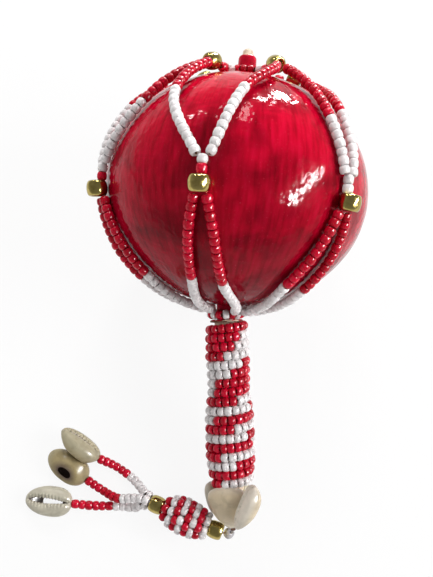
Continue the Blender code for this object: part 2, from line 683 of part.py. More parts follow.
def sleeve_profile():
    """The bobbin's layer of beads round its core."""
    half = BOBBIN_LENGTH / 2
    outside = [(bobbin_radius(share), share * half) for share in bobbin_shares()]
    inside = [(core_radius(share) + GAP, share * half) for share in reversed(bobbin_shares())]
    return outside + inside


def flat_way(heading, rise=0.0):
    """A direction with a heading about +Z from +X and a rise."""
    return Vector((cos(heading) * cos(rise), sin(heading) * cos(rise), sin(rise)))


def hang(piece, axis, place, along=None):
    """Put a piece at a place on the table and carry it by an axis that isn't turned."""
    piece.parent = axis
    piece.location = place - world_place(axis)
    if along is not None:
        piece.rotation_mode = "QUATERNION"
        piece.rotation_quaternion = along.to_track_quat("Z", "Y")


def world_place(axis):
    """Where an axis lies on the table."""
    bpy.context.view_layer.update()
    return axis.matrix_world.translation.copy()


def add_axis(name, place, parent=None):
    """An axis at a place on the table, carried by another one."""
    start = world_place(parent) if parent else Vector()
    return add_empty(name, parent, place - start)


def bobbin_places(knot):
    """Where the knot bead and the bobbin lie for a knot's place."""
    bead = knot + Vector(KNOT_BEAD_WAY).normalized() * (KNOT_RADIUS + GAP + KNOT_BEAD_RADIUS)
    turn = BOBBIN_HEADING - UPPER_GOLD_HEADING
    apart = KNOT_BEAD_RADIUS + 3 * GAP + bead_reach(TASSEL_GOLD_RADIUS, TASSEL_GOLD_LENGTH, abs(turn))
    rise = asin((BOBBIN_LEVEL - bead.z) / apart)
    upper = bead + flat_way(UPPER_GOLD_HEADING, rise) * apart
    return bead, upper + flat_way(BOBBIN_HEADING) * GOLD_FROM_BOBBIN


def tassel_clears(knot, corners):
    """Whether the bobbin and its gold beads stay off some corners."""
    _, middle = bobbin_places(knot)
    for corner in corners:
        along = (corner - middle).dot(flat_way(BOBBIN_HEADING))
        across = (corner - middle - flat_way(BOBBIN_HEADING) * along).length
        share = along / (BOBBIN_LENGTH / 2)
        reach = bobbin_radius(share) if abs(share) < 1 else TASSEL_GOLD_RADIUS
        if abs(along) < GOLD_FROM_BOBBIN + TASSEL_GOLD_LENGTH / 2 and across < reach + TASSEL_CLEAR:
            return False
    return True


def find_knot(maraca, cowries):
    """The height of the tail's knot, as close to the stick's end as the tassel clears the cowries."""
    corners = shown_corners(cowries)
    high, low = STICK_END - KNOT_RADIUS, STICK_END - STICK_TIP_LENGTH
    while high - low > SMALL:
        height = (high + low) / 2
        if tassel_clears(maraca.matrix_world @ Vector((0, 0, height)), corners):
            low = height
        else:
            high = height
    return low


def add_bobbin(knot, looks):
    """The knot bead and the bobbin between its gold beads. Gives the bobbin's axis and the strings' start."""
    bead_place, middle = bobbin_places(knot)
    swing = add_axis("tassel_swing_axis", bead_place)
    bead = bead_mesh("knot_bead", KNOT_BEAD_RADIUS, 2 * KNOT_BEAD_RADIUS * KNOT_BEAD_LENGTH, THREAD_RADIUS)
    hang(add_piece("knot_bead", bead, looks["white_glass"]), swing, bead_place, Vector(KNOT_BEAD_WAY))
    lift = add_axis("tassel_lift_axis", bead_place, swing)
    way = flat_way(BOBBIN_HEADING)
    gold = bead_mesh("tassel_gold_bead", TASSEL_GOLD_RADIUS, TASSEL_GOLD_LENGTH, GOLD_HOLE_RADIUS)
    upper = middle - way * GOLD_FROM_BOBBIN
    lower = middle + way * GOLD_FROM_BOBBIN
    hang(add_piece("tassel_gold_bead_upper", gold, looks["gold"]), lift, upper, way)
    hang(add_piece("tassel_gold_bead_lower", gold, looks["gold"]), lift, lower, way)
    core = turned_mesh("bobbin_core", core_profile(), BEAD_STEPS)
    hang(add_piece("bobbin_core", core, looks["wood"]), lift, middle, way)
    sleeve = turned_mesh("bobbin_bead_sleeve", sleeve_profile(), SLEEVE_STEPS, closed=True)
    hang(add_piece("bobbin_bead_sleeve", sleeve, looks["red_glass"]), lift, middle, way)
    return lift, lower + way * (TASSEL_GOLD_LENGTH / 2 + GAP)


def string_starts(start):
    """Where the three strings leave the lower gold bead, side by side and one on top."""
    reach = (2 * BEAD_RADIUS + GAP) / sqrt(3)
    side = flat_way(BOBBIN_HEADING - pi / 2)
    up = Vector((0, 0, 1))
    turns = (radians(-30), radians(90), radians(210))
    return [start + side * (reach * cos(turn)) + up * (reach * sin(turn)) for turn in turns]


def add_tassel_strings(lift, start, looks):
    """The three bead strings and their cowries."""
    cowrie = cowrie_mesh("tassel_cowrie", TASSEL_COWRIE, looks["shell"], COWRIE_CUT)
    for number, (first, route, lie) in enumerate(zip(string_starts(start), STRING_ROUTES, COWRIE_LIES), 1):
        rest = [Vector((start.x + x * MM, start.y + y * MM, z * MM)) for x, y, z in route]
        axis = add_axis(f"tassel_string_{number}_axis", first, lift)
        straight = first + flat_way(BOBBIN_HEADING) * BEAD_LENGTH
        points = [first, *even_points(smooth_route([straight, *rest]), TASSEL_SPACING)]
        local = [point - first for point in points]
        add_tube(f"tassel_string_{number}", local, looks["red_glass"], axis, sides=2)
        heading, raised, rolled = (radians(angle) for angle in lie)
        along = flat_way(heading, raised)
        side = flat_way(heading - pi / 2)
        over = side.cross(along)
        back = over * cos(rolled) + side * sin(rolled)
        end = points[-1] + along * GAP
        swing = add_axis(f"tassel_cowrie_{number}_axis", end, axis)
        piece = add_piece(f"tassel_cowrie_{number}", cowrie, looks["shell"], swing)
        turned = Matrix((along.cross(back), back, -along)).transposed()
        piece.matrix_local = Matrix.Translation(along * TASSEL_COWRIE[0] / 2) @ turned.to_4x4()


def seed_places(gourd):
    """Where loose seeds lie at the bottom of the gourd, and how far each can fly up."""
    bpy.context.view_layer.update()
    to_gourd = gourd.matrix_world.inverted()
    facet_depth = GOURD_RADIUS * (1 - cos(pi / 2 / GOURD_INSIDE_STEPS))
    inset = GOURD_WALL + SEED_RADIUS + facet_depth + GAP
    sizes = (GOURD_RADIUS - inset, GOURD_RADIUS - inset, GOURD_HALF_HEIGHT - inset)
    up = to_gourd.to_3x3() @ Vector((0, 0, 1))
    pull = Vector([size * size * part for size, part in zip(sizes, up)])
    low = gourd.matrix_world @ (-pull / sqrt(pull.dot(up)))
    apart = 2 * SEED_RADIUS + 2 * GAP
    turns = [2 * pi * n / SEEDS_ROUND_THE_MIDDLE_ONE for n in range(SEEDS_ROUND_THE_MIDDLE_ONE)]
    places = [low] + [low + flat_way(turn) * apart for turn in turns]
    found = []
    for place in places:
        point = to_gourd @ place
        start = Vector([part / size for part, size in zip(point, sizes)])
        way = Vector([part / size for part, size in zip(up, sizes)])
        half = -start.dot(way) / way.dot(way)
        root = sqrt(half * half - (start.dot(start) - 1) / way.dot(way))
        found.append((place + Vector((0, 0, half - root)), 2 * root))
    return found


def add_seeds(gourd, looks):
    """Loose seeds in the gourd."""
    shape = bmesh.new()
    bmesh.ops.create_icosphere(shape, subdivisions=2, radius=SEED_RADIUS)
    mesh = mesh_from("rattle_seed", shape)
    for number, (place, travel) in enumerate(seed_places(gourd), 1):
        add_piece(f"rattle_seed_{number}", mesh, looks["seed"], None, place)
        print(f"rattle_seed_{number}: can fly up {travel / MM:.1f} mm")


def main():
    clear_scene()
    looks = make_looks()
    maraca = add_empty("maraca")
    centre = Vector((sin(GOURD_LEAN), 0, cos(GOURD_LEAN))) * AXES_MEET
    gourd = add_empty("gourd_axis", maraca, centre, (0, GOURD_LEAN, 0))
    shell = turned_mesh("gourd_shell", gourd_profile(), GOURD_STEPS, closed=True)
    add_piece("gourd_shell", shell, looks["lacquer"], gourd)
    stick = turned_mesh("handle_stick", stick_profile(), STICK_STEPS)
    add_piece("handle_stick", stick, looks["wood"], maraca)
    plug = turned_mesh("top_plug", plug_profile(), PLUG_STEPS)
    add_piece("top_plug", plug, looks["lacquer"], gourd)
    neck = ring_mesh("neck_bead_ring", NECK_RING_RADIUS, NECK_RING_HEIGHT)
    add_piece("neck_bead_ring", neck, looks["white_glass"], maraca)
    add_net(gourd, looks)
    wrap = wrap_points()
    report_wrap_gap(wrap)
    add_tube("handle_bead_wrap", wrap, looks["red_glass"], maraca, WRAP_TUBE_RADIUS)
    cowries = add_end_cowries(maraca, looks)
    lay_down(maraca, list(gourd.children), cowries)
    knot_height = find_knot(maraca, cowries)
    tail_mesh = turned_mesh("tail_thread", tail_profile(knot_height), THREAD_STEPS)
    tail = add_piece("tail_thread", tail_mesh, looks["thread"], maraca)
    centre_on_table(maraca, [*gourd.children, *cowries, tail])
    lift, start = add_bobbin(maraca.matrix_world @ Vector((0, 0, knot_height)), looks)
    add_tassel_strings(lift, start, looks)
    add_seeds(gourd, looks)


main()
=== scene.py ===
"""Looks for the beaded maraca: lacquered gourd, glass beads, gold beads, cowries and tassel.

Lengths are in metres and +Z is up. The maraca's own +Z runs up the handle, and the gourd's leans off it.
An azimuth of 0 faces up from the table, and the positive side is +X.
"""

import json
from bisect import bisect_right
from collections import namedtuple
from math import acos, asin, atan2, copysign, cos, exp, pi, radians, sin, sqrt, tan
from random import Random

import bmesh
import bpy
import numpy as np
from mathutils import Matrix, Vector
from mathutils import noise as hills


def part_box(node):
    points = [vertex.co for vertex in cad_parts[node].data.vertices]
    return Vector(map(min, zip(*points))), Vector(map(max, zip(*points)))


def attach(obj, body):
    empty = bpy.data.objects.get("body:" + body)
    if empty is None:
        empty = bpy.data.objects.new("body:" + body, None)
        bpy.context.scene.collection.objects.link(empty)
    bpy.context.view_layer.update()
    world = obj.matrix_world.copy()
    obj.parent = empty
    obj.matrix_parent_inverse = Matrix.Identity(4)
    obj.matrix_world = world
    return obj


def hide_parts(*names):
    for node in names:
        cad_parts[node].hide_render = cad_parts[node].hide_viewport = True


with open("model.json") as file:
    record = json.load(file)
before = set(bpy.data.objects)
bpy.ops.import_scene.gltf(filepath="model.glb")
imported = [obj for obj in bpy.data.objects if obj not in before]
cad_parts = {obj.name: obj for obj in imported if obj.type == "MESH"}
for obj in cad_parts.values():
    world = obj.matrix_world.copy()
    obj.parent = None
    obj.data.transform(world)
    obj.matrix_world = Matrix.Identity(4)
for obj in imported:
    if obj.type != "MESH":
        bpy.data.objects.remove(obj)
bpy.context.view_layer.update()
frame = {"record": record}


def middle_of(node):
    """The middle of a CAD node's box, to a micrometre."""
    return Vector([round((low + high) / 2, 6) for low, high in zip(*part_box(node))])


MM = 0.001

# The maraca's sizes, as in the part
GAP = 0.3 * MM
BEAD_RADIUS = 2.0 * MM
BEAD_LENGTH = 3.0 * MM
GOURD_RADIUS = 54.3 * MM
GOURD_HALF_HEIGHT = 47.8 * MM
GOURD_WALL = 3.0 * MM
GOURD_LEAN = radians(6.8)
TENON_RADIUS = 4.0 * MM
TENON_INSIDE = 9.0 * MM
SHOULDER_RADIUS = 6.75 * MM
SHOULDER_LENGTH = 1.0 * MM
STICK_RADII = (5.1 * MM, 5.5 * MM, 5.1 * MM, 6.5 * MM, 6.7 * MM, 5.4 * MM)  # evenly down the winding
STICK_TIP_RADIUS = 1.8 * MM
WRAP_LOOPS = 17
WRAP_NEST = 0.26 * MM
PLUG_HOLE_RADIUS = 3.5 * MM
PLUG_RADIUS = 3.8 * MM
PLUG_TIP_RADIUS = 2.25 * MM
PLUG_TIP_HEIGHT = 3.1 * MM
PLUG_INSIDE = 2.0 * MM
GOLD_RADIUS = 3.5 * MM
GOLD_LENGTH = 6.0 * MM
WAIST_LATITUDE = radians(-7.0)
CROWN_LATITUDE = radians(70.0)
# Each double string's azimuth at the waist, where its left and right strings reach the neck ring, and how
# far its left and right upper strings stand off at the fork's middle
MERIDIANS = {
    "front": (-13.3, -40.0, 21.0, 20.5, 11.8),
    "right": (43.5, 48.0, 76.0, 5.5, 8.0),
    "back_right": (125.0, 108.0, 140.0, 9.0, 9.0),
    "back_left": (207.0, 178.0, 212.0, 9.0, 9.0),
    "left": (292.0, 256.0, 292.0, 9.0, 16.0),
}
CROWN_AZIMUTHS = (-45.0, 33.0, 88.0, 165.0, 240.0)  # the crown bead to the left of each double string
LOWER_SPREAD = ((-25.0, 4.9), (-50.0, 9.1))  # a lower string's latitude and distance from its meridian
FORK_LATITUDE = 36.3  # where the upper strings' spread is given
COWRIE_SHELL = 1.1 * MM
COWRIE_BACK = 0.62  # the back's share of the height
END_COWRIE = (19.0 * MM, 11.0 * MM, 7.4 * MM)  # length, width and height
FRONT_COWRIE = (18.6 * MM, 14.6 * MM, 6.8 * MM)
SMALL_END_COWRIE = (14.0 * MM, 9.6 * MM, 6.6 * MM)
TASSEL_COWRIE = (20.5 * MM, 13.7 * MM, 10.0 * MM)
COWRIE_OVERHANG = 4.0 * MM
KNOT_RADIUS = 1.0 * MM
KNOT_BEAD_RADIUS = 2.2 * MM
KNOT_BEAD_WAY = Vector((-0.5, -0.5, -0.71)).normalized()
TASSEL_GOLD_RADIUS = 3.7 * MM
TASSEL_GOLD_LENGTH = 6.2 * MM
BOBBIN_LENGTH = 20.0 * MM
BOBBIN_RADIUS = 7.9 * MM
BOBBIN_END_RADIUS = 5.0 * MM
BOBBIN_CORE_END_RADIUS = 1.2 * MM
BOBBIN_SWELL = 2.5
BOBBIN_HEADING = radians(156.4)
# Points of the tassel strings from the lower gold bead's end across the table, with heights over it, in mm
STRING_ROUTES = (
    ((-3.8, 5.4, 4.6), (-8.1, 10.0, 2.5), (-15.3, 15.2, 2.6), (-22.6, 18.6, 6.3)),
    ((-7.0, 1.6, 9.2), (-14.0, 1.8, 7.0), (-21.6, 5.8, 3.4), (-28.0, 10.1, 4.2)),
    ((-6.8, -2.1, 3.8), (-14.5, -1.3, 2.4), (-24.3, -0.9, 2.4), (-34.0, 0.2, 3.75)),
)
STRING_TURNS = (-30, 90, 210)  # where the strings leave the lower gold bead, in degrees round it

# Sizes where the look leaves the part
THREAD_RADIUS = 0.4 * MM
PLUG_HEIGHT = 9.2 * MM
WAIST_GOLD_RADIUS = 4.05 * MM  # of the waist beads that show
CROWN_GOLD_LIFT = 4.5 * MM  # from the gourd to the crown beads' middle
CROWN_STRING_RISE = 1.7 * MM
# The end cowries' azimuth, size, how far the tip stands off to the right, how far the cowrie stands off the
# stick and is pushed up it, its spin about its own length, whether its back faces out, and its shade, a
# tone that is partly the shell's own and partly painted light
EndCowrie = namedtuple("EndCowrie", "azimuth size tip_off off rise spin back_out shade")
END_COWRIES = {
    "front": EndCowrie(-14.0, FRONT_COWRIE, 0.6 * MM, 0.0, 1.6 * MM, 0.0, True, 0.95),
    "right": EndCowrie(21.0, END_COWRIE, -3.6 * MM, 5.4 * MM, 6.0 * MM, -105.0, False, 1.0),
    "back": EndCowrie(162.0, END_COWRIE, 0.0, 0.0, 1.1 * MM, 0.0, False, 0.5),
    "left": EndCowrie(250.0, SMALL_END_COWRIE, 0.0, 0.0, 1.1 * MM, 0.0, False, 0.6),
}
TASSEL_SHELL = (20.4 * MM, 12.5 * MM, 9.4 * MM)  # clears its neighbours at the joints' limits
# Each tassel cowrie's heading, how far its far end is raised and how far it is rolled from back up
COWRIE_LIES = ((142.0, 16.0, 248.0), (145.0, 0.0, 0.0), (172.0, 0.0, 180.0))

# Sizes that only the look has
KNOT_BEAD_REACH = 2.55 * MM  # from its centre to the threads' ends, so that it can turn between them
KNOT_THREAD_RADIUS = 0.32 * MM
WRAP_THREAD_RADIUS = 0.2 * MM
END_SLIT = 0.5 * MM
END_TEETH = 12
END_EGG = 0.1  # how much broader one end is
FRONT_EGG = 0.24
TASSEL_SLITS = (0.9 * MM, 0.05 * MM, 1.5 * MM)
TASSEL_TEETH = 14
TASSEL_EGG = 0.06
# Each tassel cowrie's tone, partly its own and partly painted light for how it is lit
TASSEL_SHADES = (0.1, 0.0, 0.4)
TASSEL_CUTS = ((0.65, 0.0), (0.76, -28.0), (0.65, 0.0))  # how much of the back is left, and the cut's tilt
SLIT_REACH = 0.9  # where a cowrie's slit ends, as a share of its half length
SLIT_TAPER = 0.4  # how much narrower it gets towards the broad end, and at the teeth
SLIT_PINCH = 0.35
SLIT_LEAST = 0.03 * MM
LIP_DEPTH = 0.9 * MM
LIP_WIDTH = 0.8 * MM
TOOTH_DEPTH = 0.16 * MM
TOOTH_REACH = 1.7 * MM
GOURD_SWELLS = ((2.1, 0.3 * MM), (6.0, 0.1 * MM))  # how close and how high the gourd's bulges are
GOURD_SINK = 0.15 * MM  # how far its skin sits below the part's
BRUSH_ROUND = 5.25  # how close the brush's streaks are round the gourd, and along it
BRUSH_ALONG = 0.75
TENON_EDGE = 0.2  # how far its end is chamfered, as a share of its radius
SHOULDER_EDGE = ((0.5 * MM, 0.0), (0.15 * MM, 0.15 * MM), (0.0, 0.5 * MM))  # in and down from its top
SHOULDER_FOOT = ((0.0, 0.7 * MM), (0.4 * MM, 0.3 * MM))  # in and up from its end
PLUG_DOME = 0.8  # the height of its tip's dome, as a share of the tip's radius
PLUG_EDGE = (1.3 * MM, 1.6 * MM)  # how far in and down its upper edge is rounded
PLUG_TIP_FOOT = (1.03, 0.3 * MM)  # where the tip is widest: a share of its radius, and a height
PLUG_BELLY = (1.02, 3.2 * MM)  # where the plug is widest, in the same way
PLUG_FOOT = 0.8 * MM  # how high its sides are straight
WRAP_TAIL_TURNS = 1.5  # the winding's thread round the shoulder, above the first bead
WRAP_TAIL_TOP = 0.55 * MM
WRAP_TAIL_FALL = 0.5 * MM
KNOT_LOOP = 0.62 * MM  # the tail knot's middle radius, and how far its loops swing in and up from it
KNOT_SWING = 0.3 * MM
KNOT_HEIGHT = 0.35 * MM
SEED_WIDTH = 0.86  # the seeds' width and height, as shares of their length
SEED_HEIGHT = 0.94
SEED_SCAR = (0.16, 0.4, 0.1)  # the scar's width, length and depth, as shares of the seed's radius

# Sizes that follow from them
STRING_LIFT = GAP + BEAD_RADIUS
STRING_BESIDE = asin((BEAD_RADIUS + GAP / 2) / GOURD_RADIUS)  # from a pair's meridian
AXES_MEET = GOURD_HALF_HEIGHT - GOURD_WALL / 2
NECK_HOLE_RADIUS = TENON_RADIUS + GAP + GOURD_WALL / 2 * tan(GOURD_LEAN)
NECK_RING_RADIUS = TENON_RADIUS + GAP + BEAD_RADIUS
NECK_RING_OUTER = NECK_RING_RADIUS + BEAD_RADIUS
NECK_RING_HEIGHT = -(GOURD_WALL / 2 + NECK_RING_OUTER * tan(GOURD_LEAN) + GAP + BEAD_RADIUS)
SHOULDER_TOP = NECK_RING_HEIGHT - BEAD_RADIUS - GAP
SHOULDER_END = SHOULDER_TOP - SHOULDER_LENGTH
WRAP_PITCH = 2 * BEAD_RADIUS - WRAP_NEST
WRAP_TOP = SHOULDER_END - GAP - BEAD_RADIUS
WRAP_BOTTOM = WRAP_TOP - WRAP_LOOPS * WRAP_PITCH
COWRIE_TOP = WRAP_BOTTOM - BEAD_RADIUS
STICK_TIP_LENGTH = END_COWRIE[0] - COWRIE_OVERHANG
STICK_END = COWRIE_TOP - STICK_TIP_LENGTH
STICK_TIP_SLOPE = atan2(STICK_RADII[-1] - STICK_TIP_RADIUS, STICK_TIP_LENGTH)
CROWN_RING_RADIUS = PLUG_RADIUS + GAP + BEAD_RADIUS
KNOT_BEAD_LENGTH = 1.6 * KNOT_BEAD_RADIUS
GOLD_FROM_BOBBIN = BOBBIN_LENGTH / 2 + GAP + TASSEL_GOLD_LENGTH / 2

# Where the maraca and its tassel lie on the table, from the frame
GRIP = frame["record"]["mounts"][0]
GRIP_FROM_NECK = 44.0 * MM
HANDLE_WAY = Vector(GRIP["axis"])  # towards the handle's end
MARACA_PLACE = Vector(GRIP["pos_m"]) - HANDLE_WAY * GRIP_FROM_NECK
MARACA_TURN = atan2(HANDLE_WAY.y, -HANDLE_WAY.z)
MARACA = Matrix.Translation(MARACA_PLACE) @ Matrix.Rotation(MARACA_TURN, 4, "X")
GOURD_CENTRE = Vector((sin(GOURD_LEAN), 0, cos(GOURD_LEAN))) * AXES_MEET
GOURD = MARACA @ Matrix.Translation(GOURD_CENTRE) @ Matrix.Rotation(GOURD_LEAN, 4, "Y")
KNOT_BEAD_PLACE = middle_of("knot_bead")
BOBBIN_PLACE = middle_of("bobbin_core")

# The camera and the floor
CAMERA_PLACE = MARACA @ (Vector((-3.83, -272.5, 6.0)) * MM)
CAMERA_FORWARD = MARACA.to_3x3() @ Vector((0, 1, 0))
CAMERA_UP = MARACA.to_3x3() @ Vector((0.0304, 0, 0.9995))
IMAGE_HEIGHT = 577
FOCAL_PIXELS = 650.0
SENSOR = 36.0
FLOOR_RADIUS = 4.0
FLOOR_DROP = 0.2 * MM
FLOOR_GLOW = 0.9  # the share of white in the floor as the camera and reflections see it

# Beads
BEAD_STEPS = 16
BEAD_SIDES = 10
BEAD_HOLE = 0.3
BEAD_SQUARE = 0.95  # less makes squarer beads
BEAD_SPACING = 2.85 * MM  # in the winding
NET_SPACING = 3.1 * MM
BEAD_UNEVEN = 0.16  # how much their lengths differ
BEAD_TILT = 0.1
BEAD_SIZES = (0.94, 1.03)  # shares of the radius, from the thinnest bead to the thickest
GOLD_STEPS = 32
GOLD_SIDES = 18
GOLD_HOLE = 0.36
GOLD_SQUARE = 0.9
STEM_LENGTH = 2.1 * BEAD_LENGTH  # of the two beads between a waist bead and its fork
WHITES_AT_NECK = 10
WHITES_AT_FORK = {"front": (11, 10), "right": (7, 9)}  # on the left and the right upper string
OTHER_WHITES_AT_FORK = (9, 9)
NECK_BEADS = 16
NECK_RING_FIRST = radians(-60)  # the azimuth of the neck ring's first bead
CROWN_BEADS = 14
STRING_WHITES = (6, 5, 6)  # on each tassel string, from the gold bead
STRING_REDS = (6, 7, 6)
BOBBIN_RINGS = 8
BOBBIN_BEAD_ROOM = 3.75 * MM  # round the bobbin
BOBBIN_TURN = 0.05  # how far its beads stray round it, and along it
BOBBIN_STRAY = 0.15 * MM
BOBBIN_BEAD_LENGTHS = (0.98, 1.12)  # shares of their room along it
WRAP_FIRST = -0.24  # the turn at which the winding's beads start, from the front
WRAP_LAST = 17.2
# The turns of the winding at which its colour changes, from red at the top
WRAP_CHANGES = (
    (0.45, 0.92, 1.45, 1.95, 2.5, 3.07, 3.85, 4.43, 5.02, 5.56, 6.12, 6.63, 7.15)
    + (7.97, 8.83, 9.47, 10.12, 10.98, 11.88, 12.85, 13.45, 14.05, 14.97, 15.5, 16.55, 17.1)
)
SEEDS = 7

# How finely shapes are divided
POINTS_PER_SPAN = 12
GOURD_STEPS = 160
GOURD_RINGS = 90
STICK_STEPS = 48
STICK_POINTS = 40
WRAP_POINTS = 900
WRAP_TAIL_POINTS = 48
RING_POINTS = 96
KNOT_POINTS = 96
TAIL_POINTS = 8
SHORT_POINTS = 4
DOME_POINTS = 8
EDGE_POINTS = 6
CORE_STEPS = 24
SLEEVE_RINGS = 8
COWRIE_RINGS = 120
COWRIE_STEPS = 26
TUBE_SIDES = 3
SEED_FINENESS = 3
SHARP_TURN = radians(50)  # edges of turned pieces that bend more are sharp
SHARP_SHELL = radians(60)
CLOSE = 0.25 * MM  # corners at a cowrie's tips that lie closer are joined
SMALL = 1e-6

Bead = namedtuple("Bead", "place way radius length white shade")
rng = Random(7)


def shares(count):
    """Numbers from 0 to 1 in even steps."""
    return [n / count for n in range(count + 1)]


def facing(way):
    """A turn that takes +Z to a direction."""
    return way.to_track_quat("Z", "Y").to_matrix().to_4x4()


def with_axes(x, y, z):
    """A turn that takes +X, +Y and +Z to three directions."""
    return Matrix((x, y, z)).transposed().to_4x4()


class Line:
    """A route that gives the place and the direction at a distance along it."""

    def __init__(self, route):
        self.route = route
        self.marks = [0.0]
        for a, b in zip(route, route[1:]):
            self.marks.append(self.marks[-1] + (b - a).length)
        self.length = self.marks[-1]

    def at(self, distance):
        index = min(max(bisect_right(self.marks, distance) - 1, 0), len(self.route) - 2)
        start, end = self.route[index], self.route[index + 1]
        share = (distance - self.marks[index]) / (self.marks[index + 1] - self.marks[index])
        return start.lerp(end, share), (end - start).normalized()


# Materials


def new_look(name, **values):
    """A Principled material. A value's name is its socket's, with _ for a space."""
    look = bpy.data.materials.new(name)
    look.use_nodes = True
    for socket, value in values.items():
        surface_of(look).inputs[socket.replace("_", " ")].default_value = value
    return look


def surface_of(look):
    """A material's Principled node."""
    return look.node_tree.nodes["Principled BSDF"]


def feed(look, socket, value):
    """Set a socket to a value, or link another socket to it."""
    if isinstance(value, bpy.types.NodeSocket):
        look.node_tree.links.new(value, socket)
    else:
        socket.default_value = value


def add_node(look, kind, inputs, **settings):
    """A node with settings and inputs, by the inputs' names or numbers."""
    node = look.node_tree.nodes.new(kind)
    for name, value in settings.items():
        setattr(node, name, value)
    for socket, value in inputs.items():
        feed(look, node.inputs[socket], value)
    return node


def dress(look, colour, roughness=None):
    """Feed a material's colour and, where it varies, its roughness."""
    inputs = surface_of(look).inputs
    feed(look, inputs["Base Color"], colour)
    if roughness is not None:
        feed(look, inputs["Roughness"], roughness)


def stretched(look, vector, stretch):
    """A vector whose parts are multiplied."""
    return add_node(look, "ShaderNodeMapping", {"Vector": vector, "Scale": stretch}).outputs["Vector"]


def place_in(look, stretch=(1, 1, 1)):
    """An object's coordinates, stretched."""
    return stretched(look, add_node(look, "ShaderNodeTexCoord", {}).outputs["Object"], stretch)


def own_place(look, stretch=(1, 1, 1)):
    """A piece's coordinates about its own axis, stretched."""
    return stretched(look, attribute(look, "own", "Vector"), stretch)


def height_in(look, vector):
    """A vector's height."""
    return add_node(look, "ShaderNodeSeparateXYZ", {0: vector}).outputs["Z"]


def calculated(look, operation, first, second):
    """Two values joined by an operation."""
    return add_node(look, "ShaderNodeMath", {0: first, 1: second}, operation=operation).outputs[0]


def scaled(look, value, start, end, low, high):
    """A value that runs from low to high while another runs from start to end."""
    inputs = {"Value": value, 1: start, 2: end, 3: low, 4: high}
    return add_node(look, "ShaderNodeMapRange", inputs).outputs[0]


def spot_noise(look, scale, vector=None, detail=3.0, distortion=0.0):
    """A cloudy pattern, from 0 to 1."""
    inputs = {"Scale": scale, "Detail": detail, "Distortion": distortion}
    inputs["Vector"] = vector or place_in(look)
    return add_node(look, "ShaderNodeTexNoise", inputs).outputs["Fac"]


def attribute(look, name, output="Fac"):
    """A value that is stored on a mesh."""
    return add_node(look, "ShaderNodeAttribute", {}, attribute_name=name).outputs[output]


def ramp(look, factor, *stops):
    """Colours or greys at factors, eased between."""
    node = add_node(look, "ShaderNodeValToRGB", {"Fac": factor})
    elements = node.color_ramp.elements
    while len(elements) < len(stops):
        elements.new(0.5)
    for element, (position, colour) in zip(elements, stops):
        element.position = position
        element.color = (*colour, 1.0) if isinstance(colour, tuple) else (colour, colour, colour, 1.0)
    return node.outputs["Color"]


def blend_colours(look, factor, first, second, mode="MIX"):
    """Two colours mixed by a factor."""
    node = add_node(look, "ShaderNodeMix", {}, data_type="RGBA", blend_type=mode)
    for index, value in ((0, factor), (6, first), (7, second)):
        if isinstance(value, tuple):
            value = (*value, 1.0)
        feed(look, node.inputs[index], value)
    return node.outputs[2]


def add_bump(look, height, depth, normal=None):
    """A bump of a depth in metres on a material's surface."""
    inputs = {"Height": height, "Distance": depth, "Strength": 1.0}
    if normal is not None:
        inputs["Normal"] = normal
    bump = add_node(look, "ShaderNodeBump", inputs).outputs["Normal"]
    feed(look, surface_of(look).inputs["Normal"], bump)
    return bump


def lacquer_look():
    """Brushed red lacquer with orange peel, streaks along the meridians, pale specks that are partly dust
    and partly painted glints, and painted shade that darkens it towards the bottom.
    """
    look = new_look("red_lacquer", IOR=1.5, Specular_IOR_Level=0.12)
    brush = attribute(look, "brush", "Vector")
    streaks = spot_noise(look, 5.0, brush, 4.0)
    clouds = spot_noise(look, 60.0, None, 3.0, 0.8)
    reds = (0.25, (0.32, 0.001, 0.011)), (0.5, (0.54, 0.0015, 0.022)), (0.75, (0.66, 0.003, 0.036))
    deep = ramp(look, streaks, *reds)
    cloudy = ramp(look, clouds, (0.35, 0.5), (0.58, 1.0))
    coloured = blend_colours(look, 0.85, deep, cloudy, "MULTIPLY")
    # Painted shade and light: the lacquer darkens towards the bottom of the gourd and lightens a little
    # towards its top
    painted_low_shade = scaled(look, height_in(look, brush), -0.8, 0.5, 0.5, 1.08)
    coloured = blend_colours(look, 1.0, coloured, painted_low_shade, "MULTIPLY")
    # Pale pink specks: partly dust in the lacquer and partly painted glints of its orange peel
    dust_and_glint_specks = ramp(look, spot_noise(look, 2600.0, None, 1.0), (0.72, 0.0), (0.78, 0.4))
    dust_and_glint = blend_colours(look, dust_and_glint_specks, coloured, (0.6, 0.1, 0.14))
    dress(look, dust_and_glint, ramp(look, streaks, (0.3, 0.05), (0.7, 0.13)))
    waves = add_bump(look, spot_noise(look, 120.0, None, 1.0), 0.32 * MM)
    peel = add_bump(look, spot_noise(look, 360.0, None, 0.0, 0.6), 0.16 * MM, waves)
    add_bump(look, spot_noise(look, 8.0, brush, 0.0), 0.03 * MM, peel)
    return look


def mottled_look(name, roughness, scale, stretch, dark, light, depth):
    """A dull material in a cloudy pattern of two colours, raised where it is light."""
    look = new_look(name, Roughness=roughness)
    spots = spot_noise(look, scale, place_in(look, (1, 1, stretch)), 5.0)
    dress(look, ramp(look, spots, (0.3, dark), (0.7, light)))
    add_bump(look, spots, depth)
    return look


def glass_look(name, dark, light, roughness):
    """Opaque bead glass, each bead a little lighter or darker than the next."""
    look = new_look(name, IOR=1.52, Specular_IOR_Level=0.22)
    shade = attribute(look, "shade")
    marks = spot_noise(look, 900.0, None, 3.0)
    colour = ramp(look, shade, (0.0, dark), (1.0, light))
    worn = ramp(look, marks, (0.3, 0.86), (0.6, 1.0))
    coloured = blend_colours(look, 1.0, colour, worn, "MULTIPLY")
    dress(look, coloured, ramp(look, marks, (0.3, roughness), (0.7, roughness + 0.14)))
    add_bump(look, spot_noise(look, 650.0, None, 2.0), 0.06 * MM)
    return look


